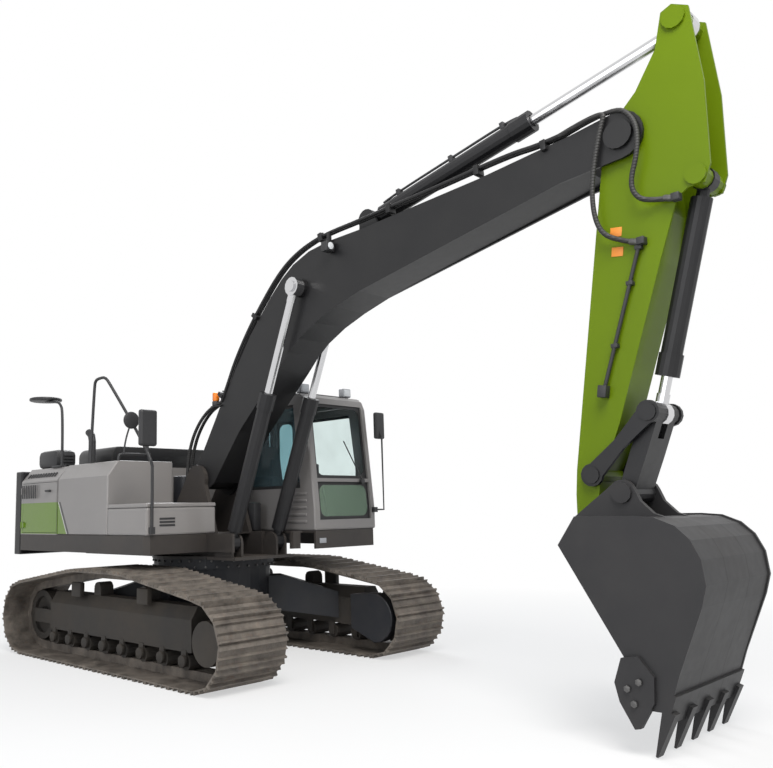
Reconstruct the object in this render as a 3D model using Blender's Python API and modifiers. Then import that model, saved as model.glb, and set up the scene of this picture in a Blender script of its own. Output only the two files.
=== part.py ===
"""Crawler excavator of the 22 tonne class, parked with its bucket just over the ground.

Metres, +X forward, +Y to the left, +Z up. The ground is at z = 0 and the swing axis stands
at x = SWING_X, so that the middle of the machine's box lies over the origin.
Each body is modelled in its own frame: the boom's frame starts at its foot pin and points
at its tip pin, the arm's starts at the boom's tip and points at the bucket pin, and a
cylinder's starts at its base pin and points at its rod's eye.
"""

import bmesh
import bpy
from math import atan2, cos, hypot, pi, radians, sin, sqrt, tau
from mathutils import Matrix, Vector

# Clearances and facets
SEAT_GAP = 0.0003
RUNNING_GAP = 0.006
OVERRUN = 0.02
ROUND_SIDES = 20
SMALL_SIDES = 12
FINE_SIDES = 8
WELD_DISTANCE = 0.00005

# Undercarriage: the tumblers are the sprocket in front and the idler behind
TRACK_GAUGE = 2.38
TUMBLER_DISTANCE = 3.46
PITCH_RADIUS = 0.345
RIM_SHARE = 0.96
SHOE_COUNT = 48
SHOE_WIDTH = 0.80
SHOE_INNER = 0.040
SHOE_OUTER = 0.053
GROUSER_HEIGHT = 0.026
CHAIN_WIDTH = 0.17
CHAIN_DEPTH = 0.045
CARRIER_X = 0.46
CARRIER_LIFT = 0.187
CARRIER_RADIUS = 0.07
CARRIER_LENGTH = 0.16
ROLLER_COUNT = 8
ROLLER_SPAN = 2.56
ROLLER_RADIUS = 0.078
ROLLER_LENGTH = 0.28
ROLLER_FLANGE = 0.018
ROLLER_FLANGE_WIDTH = 0.035
AXLE_Z = PITCH_RADIUS + SHOE_OUTER + GROUSER_HEIGHT
# Corners of one shoe: share of the pitch, and height (0 the plate, 1 the bar's tip)
SHOE_SHARES = (
    (0.00, -0.30), (0.04, 1.00), (0.12, 1.00), (0.17, 0.00), (0.42, 0.00),
    (0.50, 1.00), (0.58, 0.00), (0.86, 0.00), (0.92, 1.00),
)
SPROCKET_TEETH = 21
SPROCKET_WIDTH = 0.07
SPROCKET_TOOTH = 0.034
FINAL_DRIVE_RADIUS = 0.205
FINAL_DRIVE_REACH = 0.246
MOTOR_RADIUS = 0.19
MOTOR_REACH = 0.17
IDLER_WIDTH = 0.16
IDLER_RIM = 0.07
IDLER_HUB_RADIUS = 0.09
GUARD_RADIUS = 0.265
GUARD_DEPTH = 0.14
GUARD_BACK = 0.34
DRIVE_PLATE = 0.03
DRIVE_PLATE_FOOT = 0.30

# Track frame: a box beam with sloping shoulders between the tumblers
BEAM_BACK_X = -1.38
BEAM_FRONT_X = 1.40
BEAM_HALF = 0.16
BEAM_TOP_HALF = 0.085
BEAM_BOTTOM_Z = 0.30
BEAM_SHOULDER_Z = 0.60
BEAM_TOP_Z = 0.72
YOKE_HALF = 0.135
YOKE_PLATE = 0.03
YOKE_HEIGHT = 0.16
YOKE_NOSE = 0.10

# Car body: a round tower on four box legs
TOWER_RADIUS = 0.66
TOWER_TOP_Z = 0.985
TOWER_BOTTOM_Z = 0.46
TOWER_WALL = 0.05
LEG_ANGLE = radians(38)
LEG_WIDTH = 0.36
LEG_ROOT_TOP_Z = 0.86
LEG_ROOT_BOTTOM_Z = 0.46
LEG_END_TOP_Z = 0.66
LEG_END_BOTTOM_Z = 0.36
LEG_END_Y = TRACK_GAUGE / 2 - BEAM_HALF
BEARING_RADIUS = 0.70
BEARING_INNER = 0.54
BEARING_HEIGHT = 0.115

# Revolving frame
DECK_TOP_Z = 1.381
SKIRT_BOTTOM_Z = 1.187
SKIRT_WALL = 0.03
DECK_PLATE = 0.02
UPPER_HALF = 1.363
DECK_BACK_X = -2.24
RIGHT_FRONT_X = 0.641
CAB_FRONT_X = 1.355
DECK_CORNER = 0.05
RIGHT_INNER_Y = -0.47
CAB_INNER_Y = 0.362
CENTRE_FRONT_X = 1.09
CENTRE_RIGHT_Y = -0.60
CENTRE_LEFT_Y = 0.27
CENTRE_PLATE_Z = TOWER_TOP_Z + BEARING_HEIGHT + SEAT_GAP
CENTRE_PLATE = 0.03
WEB_FRONT_X = 0.80
WELL_BACK_X = 0.60

# Boom and its pins, in the middle plane y = BOOM_Y
BOOM_Y = -0.166
BOOM_FOOT = (0.236, 1.975)
BOOM_ANGLE = radians(24.45)
BOOM_LENGTH = 5.70
BOOM_RISE = 1.306
BOOM_HALF = 0.22
BOOM_PLATE = 0.022
BOOM_FOOT_RADIUS = 0.17
BOOM_TIP_RADIUS = 0.185
BOOM_FOOT_BOSS = 0.105
BOOM_PIN_RADIUS = 0.045
BRACKET_PLATE = 0.05
# Upper edge from the foot to the tip, then the lower edge back: share of the length, of the rise
BOOM_TOP_SHARES = (
    (0.030, 0.190), (0.150, 0.520), (0.258, 0.778), (0.337, 0.916), (0.380, 0.975),
    (0.417, 1.000), (0.462, 0.985), (0.511, 0.920), (0.581, 0.790), (0.802, 0.425),
    (0.945, 0.215),
)
BOOM_LOW_SHARES = (
    (0.904, 0.000), (0.529, 0.384), (0.470, 0.420), (0.418, 0.436), (0.370, 0.425),
    (0.335, 0.390), (0.298, 0.331), (0.150, 0.120), (0.040, -0.115),
)
TIP_FORK_START = 5.28
TIP_CAP_X = 5.36

# Boom cylinders
BOOM_CYLINDER_BASE = (0.926, 1.280)
BOOM_CYLINDER_EYE = (2.369, 1.005)
BOOM_CYLINDER_HALF_SPAN = 0.313
BOOM_BARREL_RADIUS = 0.078
BOOM_ROD_RADIUS = 0.0425
BOOM_BARREL_LENGTH = 1.66
BOOM_EYE_RADIUS = 0.095
BOOM_EYE_HALF = 0.05
BASE_EAR_RADIUS = 0.10
BASE_EAR_PLATE = 0.03

# Arm and its cylinder
ARM_ANGLE = radians(-98.84)
ARM_LENGTH = 2.92
ARM_HALF = 0.17
ARM_PLATE = 0.02
ARM_ROOT_BOSS = 0.12
ARM_EYE = (-0.817, 0.326)
ARM_CYLINDER_BASE = (3.33, 1.179)
ARM_BARREL_RADIUS = 0.085
ARM_ROD_RADIUS = 0.0475
ARM_BARREL_LENGTH = 1.86
ARM_EYE_RADIUS = 0.10
ARM_EYE_HALF = 0.06
ARM_EAR_PLATE = 0.035
ARM_TIP_RADIUS = 0.105
# Near-side plate of the arm, from its top ear along the machine's side to the tip and back
ARM_LOW_EDGE = (
    (-0.925, 0.300), (-0.880, 0.225), (-0.611, 0.205), (-0.324, 0.079), (-0.129, -0.070),
    (0.020, -0.128), (0.176, -0.141), (2.520, -0.146), (2.700, -0.135), (2.920, -0.105),
)
ARM_TOP_EDGE = (
    (2.960, 0.095), (2.860, 0.085), (2.700, 0.045), (2.500, 0.045), (2.360, 0.105),
    (2.150, 0.158), (0.959, 0.368), (0.520, 0.452),
    (0.455, 0.520), (0.430, 0.640), (0.300, 0.665), (-0.301, 0.578), (-0.880, 0.425),
)

# Bucket cylinder, levers and link
BUCKET_CYLINDER_BASE = (0.367, 0.574)
BUCKET_BARREL_RADIUS = 0.075
BUCKET_ROD_RADIUS = 0.04
BUCKET_BARREL_LENGTH = 1.42
BUCKET_EYE_RADIUS = 0.085
BUCKET_EYE_HALF = 0.05
LEVER_PIN = (2.541, -0.006)
LEVER_TOP = (2.048, 0.376)
LEVER_PLATE = 0.035
LEVER_END_RADIUS = 0.085
LEVER_WAIST = 0.045
LEVER_CAP = 0.012
LINK_FOOT = (2.642, 0.240)
LINK_RADIUS = 0.076
LINK_HALF = 0.155

# Bucket: x forward and z up from the arm's pin, as it stands at rest
BUCKET_HALF = 0.60
BUCKET_SIDE_PLATE = 0.025
BUCKET_SHELL = 0.022
BUCKET_EAR_PLATE = 0.045
BUCKET_EAR_INNER = ARM_HALF + RUNNING_GAP
BUCKET_MOUTH_TOP = (-0.040, -0.139)
BUCKET_SIDE_OUTLINE = (
    (0.101, 0.080), (-0.037, -0.119), (0.443, -0.915), (0.563, -1.155), (0.671, -1.155),
    (0.755, -0.908), (0.923, -0.493), (0.961, -0.357), (0.943, -0.194), (0.883, -0.070),
    (0.793, 0.015), (0.663, 0.068), (0.511, 0.080),
)
BUCKET_SHELL_PATH = (
    (0.043, -0.230), (0.143, -0.090), (0.273, 0.020), (0.423, 0.066), (0.511, 0.069),
    (0.658, 0.057), (0.783, 0.005), (0.873, -0.078), (0.932, -0.198), (0.950, -0.357),
    (0.912, -0.493), (0.748, -0.915), (0.672, -1.137),
)
LIP_LENGTH = 0.10
LIP_PLATE = 0.04
TOOTH_COUNT = 5
TOOTH_LENGTH = 0.215
TOOTH_WIDTH = 0.085
TOOTH_ROOT = 0.09
SIDE_CUTTER = (
    (0.388, -0.840), (0.333, -1.000), (0.361, -1.120), (0.453, -1.280), (0.493, -1.270),
    (0.593, -1.100), (0.603, -0.940), (0.503, -0.820),
)
SIDE_CUTTER_PLATE = 0.03

# Housings on the deck
HOUSE_TOP_Z = 2.19
HOUSE_SHOULDER_Z = 2.03
HOUSE_SHOULDER_IN = 0.13
HOUSE_BACK_X = -2.20
HOUSE_WALL = 0.03
RIGHT_BAY_FRONT_X = -1.25
LEFT_BAY_FRONT_X = -0.46
MIDDLE_FRONT_X = -1.02
TANK_FRONT_X = -0.13
TANK_INNER_Y = -0.50
PANEL_PLATE = 0.03
DOOR_MARGIN = 0.05
DOOR_GAP = 0.005
HINGE_OUT = 0.014
TOOLBOX_TOP_Z = 1.715
LID_DEPTH = 0.045
HOOD_FRONT_X = -1.27
HOOD_BACK_X = -2.12
HOOD_RIGHT_Y = -0.62
HOOD_LEFT_Y = 0.95
HOOD_RISE = 0.11
HOOD_PLATE = 0.025

# Counterweight: a round-backed casting
TAIL_RADIUS = 2.85
TAIL_BOTTOM_Z = 1.13
TAIL_TOP_Z = 2.17
TAIL_FRONT_X = DECK_BACK_X - SEAT_GAP
TAIL_HALF = 1.345
TAIL_BEVEL = 0.05
# Half of the round back: reach as a share of the tail radius, side as a share of the half width
TAIL_SHARES = (
    (1.000, 0.00), (0.994, 0.25), (0.976, 0.50), (0.948, 0.72), (0.925, 0.84), (0.898, 0.92),
    (0.865, 0.975), (0.835, 1.00),
)
TAIL_POCKET_WALL = 0.16

# Engine: one plain block at its real place
ENGINE_LOW = (-2.02, -0.50, DECK_TOP_Z + SEAT_GAP)
ENGINE_HIGH = (-1.38, 0.62, 2.12)

# Cab
CAB_BACK_X = -0.42
CAB_TOP_Z = 2.955
CAB_OUTER_Y = 1.363
CAB_WALL = 0.05
CAB_BOTTOM_Z = DECK_TOP_Z + SEAT_GAP
CAB_FLOOR = 0.04
CAB_BROW_X = 1.215
CAB_BROW_Z = 2.84
CAB_EDGE = 0.022
PANE = 0.006
FRONT_PANE_MARGIN = 0.075
FRONT_BAR_LOW_Z = 1.925
FRONT_BAR_HIGH_Z = 1.965
FRONT_LOW_Z = 1.50
FRONT_HIGH_Z = 2.83
RIGHT_PANE = ((-0.22, 1.86), (1.12, 1.86), (1.02, 2.82), (-0.22, 2.82))
REAR_PANE_LOW_Z = 1.93
REAR_PANE_HIGH_Z = 2.74
DOOR_BACK_X = 0.10
DOOR_FRONT_X = 1.20
DOOR_LOW_Z = 1.44
DOOR_HIGH_Z = 2.85
QUARTER_PANE = ((-0.33, 1.95), (0.00, 1.95), (0.00, 2.78), (-0.33, 2.78))
DOOR_PANE_MARGIN = 0.09
DOOR_PANE_LOW_Z = 1.90

FINISHES = {
    # name: (colour, roughness, metallic)
    "lime": ((0.40, 0.58, 0.02), 0.35, 0.0),
    "charcoal": ((0.055, 0.055, 0.06), 0.45, 0.0),
    "warm_grey": ((0.50, 0.47, 0.43), 0.40, 0.0),
    "skirt_brown": ((0.085, 0.075, 0.07), 0.50, 0.0),
    "frame_blue_black": ((0.030, 0.034, 0.045), 0.50, 0.0),
    "track_steel": ((0.17, 0.14, 0.12), 0.65, 0.6),
    "black": ((0.02, 0.02, 0.022), 0.45, 0.0),
    "chrome": ((0.75, 0.76, 0.78), 0.12, 1.0),
    "tinted_glass": ((0.20, 0.34, 0.33), 0.06, 0.0),
    "seat_cloth": ((0.05, 0.055, 0.06), 0.85, 0.0),
    "beacon_orange": ((0.90, 0.32, 0.03), 0.25, 0.0),
    "lamp_silver": ((0.55, 0.56, 0.58), 0.30, 0.6),
}


def clear_scene():
    for thing in list(bpy.data.objects):
        bpy.data.objects.remove(thing, do_unlink=True)


def make_finishes():
    for name, (colour, roughness, metallic) in FINISHES.items():
        finish = bpy.data.materials.new(name)
        finish.use_nodes = True
        shader = finish.node_tree.nodes["Principled BSDF"]
        shader.inputs["Base Color"].default_value = (*colour, 1.0)
        shader.inputs["Roughness"].default_value = roughness
        shader.inputs["Metallic"].default_value = metallic
        finish.diffuse_color = (*colour, 1.0)


# Shapes


def evaluated_mesh(thing):
    bpy.context.view_layer.update()
    graph = bpy.context.evaluated_depsgraph_get()
    return bpy.data.meshes.new_from_object(thing.evaluated_get(graph))


def weld(mesh, distance=WELD_DISTANCE):
    shape = bmesh.new()
    shape.from_mesh(mesh)
    bmesh.ops.remove_doubles(shape, verts=shape.verts, dist=distance)
    shape.to_mesh(mesh)
    shape.free()


def shape_object(mesh):
    thing = bpy.data.objects.new("shape", mesh)
    bpy.context.scene.collection.objects.link(thing)
    return thing


def from_bmesh(shape):
    mesh = bpy.data.meshes.new("shape")
    shape.to_mesh(mesh)
    shape.free()
    return shape_object(mesh)


def box(low, high):
    """A block between two opposite corners."""
    size = [b - a for a, b in zip(low, high)]
    middle = [(a + b) / 2 for a, b in zip(low, high)]
    place = Matrix.Translation(middle) @ Matrix.Diagonal((*size, 1))
    shape = bmesh.new()
    bmesh.ops.create_cube(shape, size=1, matrix=place)
    return from_bmesh(shape)


def bar(start, end, radius, end_radius=None, sides=SMALL_SIDES):
    """A round bar, or a cone, between two points."""
    start, end = Vector(start), Vector(end)
    along = end - start
    turn = along.to_track_quat("Z", "Y").to_matrix().to_4x4()
    shape = bmesh.new()
    bmesh.ops.create_cone(
        shape, cap_ends=True, segments=sides, radius1=radius,
        radius2=radius if end_radius is None else end_radius, depth=along.length,
        matrix=Matrix.Translation((start + end) / 2) @ turn,
    )
    return from_bmesh(shape)


def cross_bar(point, low, high, radius, sides=SMALL_SIDES):
    """A round bar along Y through the point (x, z)."""
    return bar((point[0], low, point[1]), (point[0], high, point[1]), radius, sides=sides)


PLANES = {
    "XZ": Matrix(((1, 0, 0, 0), (0, 0, -1, 0), (0, 1, 0, 0), (0, 0, 0, 1))),
    "YZ": Matrix(((0, 0, 1, 0), (1, 0, 0, 0), (0, 1, 0, 0), (0, 0, 0, 1))),
    "XY": Matrix.Identity(4),
}
DEPTH_AXIS = {"XZ": (0, 1, 0), "YZ": (1, 0, 0), "XY": (0, 0, 1)}


def plate(outline, low, high, plane="XZ", holes=()):
    """A flat outline in a plane, thick from low to high across it."""
    flat = bpy.data.curves.new("outline", "CURVE")
    flat.dimensions = "2D"
    flat.fill_mode = "BOTH"
    flat.extrude = (high - low) / 2
    for loop in (outline, *holes):
        spline = flat.splines.new("POLY")
        spline.points.add(len(loop) - 1)
        for point, (p, q) in zip(spline.points, loop):
            point.co = (p, q, 0, 1)
        spline.use_cyclic_u = True
    guide = bpy.data.objects.new("outline", flat)
    bpy.context.scene.collection.objects.link(guide)
    mesh = evaluated_mesh(guide)
    bpy.data.objects.remove(guide, do_unlink=True)
    weld(mesh)
    middle = Vector(DEPTH_AXIS[plane]) * (low + high) / 2
    mesh.transform(Matrix.Translation(middle) @ PLANES[plane])
    return shape_object(mesh)


def turned(profile, centre, axis="Z", sides=ROUND_SIDES):
    """A profile of (radius, height) corners turned about an axis through the centre."""
    mesh = bpy.data.meshes.new("profile")
    edges = [(i, i + 1) for i in range(len(profile) - 1)]
    mesh.from_pydata([(radius, 0, height) for radius, height in profile], edges, [])
    thing = shape_object(mesh)
    screw = thing.modifiers.new("turn", "SCREW")
    screw.axis = "Z"
    screw.steps = sides
    screw.render_steps = sides
    screw.use_merge_vertices = True
    screw.merge_threshold = WELD_DISTANCE
    apply(thing)
    weld(thing.data)
    turn = {"Z": Matrix.Identity(4), "Y": Matrix.Rotation(-pi / 2, 4, "X"),
            "X": Matrix.Rotation(pi / 2, 4, "Y")}[axis]
    thing.data.transform(Matrix.Translation(centre) @ turn)
    return thing


def apply(thing):
    mesh = evaluated_mesh(thing)
    thing.modifiers.clear()
    thing.data = mesh


def combined(base, others, operation, solver="EXACT"):
    group = bpy.data.collections.new("operands")
    for other in others:
        group.objects.link(other)
    modifier = base.modifiers.new("combined", "BOOLEAN")
    modifier.operation = operation
    modifier.operand_type = "COLLECTION"
    modifier.collection = group
    modifier.solver = solver
    apply(base)
    for other in others:
        bpy.data.objects.remove(other, do_unlink=True)
    bpy.data.collections.remove(group)
    return base


def union(base, *others):
    return combined(base, others, "UNION")


def cut(base, *cutters):
    return combined(base, cutters, "DIFFERENCE")


def softened(thing, width, segments=2, angle=radians(40)):
    bevel = thing.modifiers.new("soft", "BEVEL")
    bevel.width = width
    bevel.segments = segments
    bevel.limit_method = "ANGLE"
    bevel.angle_limit = angle
    apply(thing)
    return thing


def moved(thing, matrix):
    thing.data.transform(matrix)
    return thing


def mirrored_y(points):
    return [(x, -y, z) for x, y, z in points]


def tube(points, radius, sides=FINE_SIDES):
    """A bent pipe through the points, closed at both ends."""
    wire = bpy.data.curves.new("pipe", "CURVE")
    wire.dimensions = "3D"
    wire.bevel_depth = radius
    wire.bevel_resolution = sides // 4
    wire.use_fill_caps = True
    spline = wire.splines.new("POLY")
    spline.points.add(len(points) - 1)
    for point, place in zip(spline.points, points):
        point.co = (*place, 1)
    guide = bpy.data.objects.new("pipe", wire)
    bpy.context.scene.collection.objects.link(guide)
    mesh = evaluated_mesh(guide)
    bpy.data.objects.remove(guide, do_unlink=True)
    weld(mesh)
    return shape_object(mesh)


def strip(path, thickness):
    """The outline of a bent sheet: the path, and the path again on its left side."""
    sides = []
    for i, (x, z) in enumerate(path):
        before = path[max(i - 1, 0)]
        after = path[min(i + 1, len(path) - 1)]
        first = Vector((x - before[0], z - before[1]))
        second = Vector((after[0] - x, after[1] - z))
        directions = [d.normalized() for d in (first, second) if d.length > 0]
        mean = sum(directions, Vector((0, 0))).normalized()
        reach = thickness / max(mean.dot(directions[0]), 0.5)
        sides.append((x - mean.y * reach, z + mean.x * reach))
    return list(path) + sides[::-1]


def arc(centre, radius, start, end, steps):
    """Points on an arc, with the angles in degrees."""
    return [
        (centre[0] + radius * cos(radians(start + (end - start) * i / steps)),
         centre[1] + radius * sin(radians(start + (end - start) * i / steps)))
        for i in range(steps + 1)
    ]


def circle(centre, radius, sides=SMALL_SIDES):
    return arc(centre, radius, 0, 360 - 360 / sides, sides - 1)


def dog_bone(first, second, first_radius, second_radius, waist):
    """A lever's outline: two round ends and a narrower waist."""
    direction = atan2(second[1] - first[1], second[0] - first[0]) * 180 / pi
    length = hypot(second[0] - first[0], second[1] - first[1])
    along = Vector((second[0] - first[0], second[1] - first[1])) / length
    left = Vector((-along.y, along.x))
    middle = Vector(first) + along * length / 2
    return (
        arc(first, first_radius, direction + 50, direction + 310, 10)
        + [tuple(middle - left * waist)]
        + arc(second, second_radius, direction - 130, direction + 130, 10)
        + [tuple(middle + left * waist)]
    )


# Frames and nodes

PLACES = {}
EMPTIES = {}


def add_body(name, parent, origin, angle=0.0):
    """The empty that a body turns on. Origin and angle are in the machine's frame."""
    place = Matrix.Translation(origin) @ Matrix.Rotation(-angle, 4, "Y")
    empty = bpy.data.objects.new(name + "_axis", None)
    MODEL.objects.link(empty)
    if parent:
        empty.parent = EMPTIES[parent]
        empty.matrix_local = PLACES[parent].inverted() @ place
    else:
        empty.matrix_local = Matrix.Translation((SWING_X, 0, 0)) @ place
    PLACES[name] = place
    EMPTIES[name] = empty


def node(name, finish, body, thing):
    """Names a finished shape, modelled in its body's frame, and hangs it on that body."""
    thing.name = name
    thing.data.name = name
    thing.data.materials.clear()
    thing.data.materials.append(bpy.data.materials[finish])
    thing.data.shade_smooth()
    thing.data.set_sharp_from_angle(angle=radians(35))
    for group in list(thing.users_collection):
        group.objects.unlink(thing)
    MODEL.objects.link(thing)
    thing.parent = EMPTIES[body]
    return thing


def in_plane(origin, angle, point):
    """A frame's (x, z) point, in the machine's frame."""
    c, s = cos(angle), sin(angle)
    return (origin[0] + c * point[0] - s * point[1], origin[1] + s * point[0] + c * point[1])


def heading(start, end):
    return atan2(end[1] - start[1], end[0] - start[0])


def distance(start, end):
    return hypot(end[0] - start[0], end[1] - start[1])


BOOM_TIP = in_plane(BOOM_FOOT, BOOM_ANGLE, (BOOM_LENGTH, 0))
BUCKET_PIN = in_plane(BOOM_TIP, ARM_ANGLE, (ARM_LENGTH, 0))
FRONT_REACH = max(in_plane(BOOM_TIP, ARM_ANGLE, corner)[0] for corner in ARM_TOP_EDGE)
SWING_X = (TAIL_RADIUS - FRONT_REACH) / 2


# Undercarriage


def belt_points(circles, step=radians(4)):
    """The taut line round circles of (x, z, radius), listed against the clock."""
    normals = []
    for i, (x, z, r) in enumerate(circles):
        x2, z2, r2 = circles[(i + 1) % len(circles)]
        along = Vector((x2 - x, z2 - z))
        lean = (r - r2) / along.length
        along.normalize()
        right = Vector((along.y, -along.x))
        normals.append(along * lean + right * sqrt(1 - lean * lean))
    points = []
    for i, (x, z, r) in enumerate(circles):
        start = atan2(normals[i - 1].y, normals[i - 1].x)
        sweep = (atan2(normals[i].y, normals[i].x) - start) % tau
        steps = max(1, round(sweep / step))
        points += [
            (x + r * cos(start + sweep * k / steps), z + r * sin(start + sweep * k / steps))
            for k in range(steps + 1)
        ]
    return points


def evenly_spaced(points, count):
    """Points at equal distances along a closed line."""
    lengths = [distance(p, points[(i + 1) % len(points)]) for i, p in enumerate(points)]
    pitch = sum(lengths) / count
    found, i, walked = [], 0, 0.0
    for n in range(count):
        while walked + lengths[i] < n * pitch:
            walked += lengths[i]
            i += 1
        share = (n * pitch - walked) / lengths[i]
        (x, z), (x2, z2) = points[i], points[(i + 1) % len(points)]
        found.append((x + (x2 - x) * share, z + (z2 - z) * share))
    return found


def pin_line():
    half = TUMBLER_DISTANCE / 2
    carrier_z = AXLE_Z + PITCH_RADIUS + CARRIER_LIFT - CARRIER_RADIUS - CHAIN_DEPTH
    carrier = CARRIER_RADIUS + CHAIN_DEPTH
    return evenly_spaced(
        belt_points((
            (half, AXLE_Z, PITCH_RADIUS), (CARRIER_X, carrier_z, carrier),
            (-CARRIER_X, carrier_z, carrier), (-half, AXLE_Z, PITCH_RADIUS),
        )),
        SHOE_COUNT,
    )


def offset_loop(pins, out):
    """The pin line moved outwards, one corner for each pin."""
    loop = []
    for i, (x, z) in enumerate(pins):
        before, after = pins[i - 1], pins[(i + 1) % len(pins)]
        along = Vector((after[0] - before[0], after[1] - before[1])).normalized()
        loop.append((x + along.y * out, z - along.x * out))
    return loop


def track(side):
    pins = pin_line()
    outer = []
    for i, (x, z) in enumerate(pins):
        x2, z2 = pins[(i + 1) % len(pins)]
        along = Vector((x2 - x, z2 - z))
        out = Vector((along.y, -along.x)).normalized()
        for share, height in SHOE_SHARES:
            reach = SHOE_OUTER + GROUSER_HEIGHT * height
            outer.append((x + along.x * share + out.x * reach, z + along.y * share + out.y * reach))
    middle = side * TRACK_GAUGE / 2
    shoes = plate(
        outer, middle - SHOE_WIDTH / 2, middle + SHOE_WIDTH / 2,
        holes=[offset_loop(pins, SHOE_INNER)],
    )
    chain = plate(
        offset_loop(pins, SHOE_INNER * 0.8 + SHOE_OUTER * 0.2), middle - CHAIN_WIDTH / 2,
        middle + CHAIN_WIDTH / 2, holes=[offset_loop(pins, -CHAIN_DEPTH)],
    )
    return combined(shoes, [chain], "UNION", "MANIFOLD")


def sprocket(side):
    """The toothed wheel, with the final drive outside it and the travel motor inside."""
    centre = (TUMBLER_DISTANCE / 2, AXLE_Z)
    middle = side * TRACK_GAUGE / 2
    tip = (PITCH_RADIUS - CHAIN_DEPTH) * RIM_SHARE - RUNNING_GAP
    outline = []
    for i in range(SPROCKET_TEETH):
        for share, radius in ((0.0, tip - SPROCKET_TOOTH), (0.35, tip), (0.65, tip)):
            angle = tau * (i + share) / SPROCKET_TEETH
            outline.append((centre[0] + radius * cos(angle), centre[1] + radius * sin(angle)))
    wheel = plate(outline, middle - SPROCKET_WIDTH / 2, middle + SPROCKET_WIDTH / 2)
    outer = cross_bar(centre, middle, middle + side * FINAL_DRIVE_REACH, FINAL_DRIVE_RADIUS, 24)
    inner = cross_bar(centre, middle, middle - side * MOTOR_REACH, MOTOR_RADIUS, ROUND_SIDES)
    return union(wheel, outer, inner)


def idler(side):
    centre = (-TUMBLER_DISTANCE / 2, side * TRACK_GAUGE / 2, AXLE_Z)
    rim = (PITCH_RADIUS - CHAIN_DEPTH) * RIM_SHARE - RUNNING_GAP / 3
    half = IDLER_WIDTH / 2
    hub = YOKE_HALF - YOKE_PLATE - SEAT_GAP
    profile = (
        (0, hub), (IDLER_HUB_RADIUS, hub), (IDLER_HUB_RADIUS, half / 2),
        (rim - IDLER_RIM, half / 2), (rim - IDLER_RIM, half), (rim, half), (rim, -half),
        (rim - IDLER_RIM, -half), (rim - IDLER_RIM, -half / 2), (IDLER_HUB_RADIUS, -half / 2),
        (IDLER_HUB_RADIUS, -hub), (0, -hub),
    )
    return turned(profile, centre, "Y", 24)


def track_frame(side):
    """The side beam with its bottom rollers, carrier rollers and idler yoke."""
    middle = side * TRACK_GAUGE / 2
    section = (
        (middle - BEAM_HALF, BEAM_BOTTOM_Z), (middle + BEAM_HALF, BEAM_BOTTOM_Z),
        (middle + BEAM_HALF, BEAM_SHOULDER_Z), (middle + BEAM_TOP_HALF, BEAM_TOP_Z),
        (middle - BEAM_TOP_HALF, BEAM_TOP_Z), (middle - BEAM_HALF, BEAM_SHOULDER_Z),
    )
    beam = plate(section, BEAM_BACK_X, BEAM_FRONT_X, "YZ")
    pieces = []
    roller_z = ROLLER_RADIUS + (AXLE_Z - PITCH_RADIUS + CHAIN_DEPTH) + SEAT_GAP
    for i in range(ROLLER_COUNT):
        x = -ROLLER_SPAN / 2 + ROLLER_SPAN * i / (ROLLER_COUNT - 1)
        pieces.append(cross_bar((x, roller_z), middle - ROLLER_LENGTH / 2,
                                middle + ROLLER_LENGTH / 2, ROLLER_RADIUS, 10))
        for edge in (-1, 1):
            low, high = sorted((middle + edge * (ROLLER_LENGTH / 2 - SEAT_GAP), middle + edge * BEAM_HALF * 1.04))
            pieces.append(box((x - ROLLER_RADIUS / 2, low, roller_z - ROLLER_RADIUS / 2),
                              (x + ROLLER_RADIUS / 2, high, BEAM_BOTTOM_Z + OVERRUN)))
    carrier_z = AXLE_Z + PITCH_RADIUS + CARRIER_LIFT - 2 * CHAIN_DEPTH - CARRIER_RADIUS
    for x in (-CARRIER_X, CARRIER_X):
        pieces.append(cross_bar((x, carrier_z - SEAT_GAP), middle - CARRIER_LENGTH / 2,
                                middle + CARRIER_LENGTH / 2, CARRIER_RADIUS, 10))
        pieces.append(box((x - CARRIER_RADIUS, middle - CARRIER_LENGTH / 2, BEAM_TOP_Z - OVERRUN),
                          (x + CARRIER_RADIUS, middle + CARRIER_LENGTH / 2, carrier_z)))
    half = TUMBLER_DISTANCE / 2
    for edge in (-1, 1):
        low = middle + edge * (YOKE_HALF - YOKE_PLATE)
        high = middle + edge * YOKE_HALF
        pieces.append(box((-half - YOKE_NOSE, min(low, high), AXLE_Z - YOKE_HEIGHT / 2),
                          (BEAM_BACK_X + OVERRUN, max(low, high), AXLE_Z + YOKE_HEIGHT / 2)))
    centre = (TUMBLER_DISTANCE / 2, AXLE_Z)
    inner = middle - side * (MOTOR_REACH + SEAT_GAP)
    low, high = sorted((inner, inner - side * DRIVE_PLATE))
    outline = [(BEAM_FRONT_X - DRIVE_PLATE_FOOT, BEAM_BOTTOM_Z), (BEAM_FRONT_X, BEAM_BOTTOM_Z)]
    outline += arc(centre, MOTOR_RADIUS, -100, 100, 10)
    outline += [(BEAM_FRONT_X, BEAM_SHOULDER_Z), (BEAM_FRONT_X - DRIVE_PLATE_FOOT, BEAM_SHOULDER_Z)]
    pieces.append(plate(outline, low, high))
    low, high = sorted((middle - side * BEAM_HALF * 0.95, inner - side * DRIVE_PLATE / 2))
    pieces.append(box((BEAM_FRONT_X - DRIVE_PLATE_FOOT, low, BEAM_BOTTOM_Z + OVERRUN),
                      (BEAM_FRONT_X, high, BEAM_SHOULDER_Z - OVERRUN)))
    return union(beam, *pieces)


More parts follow.
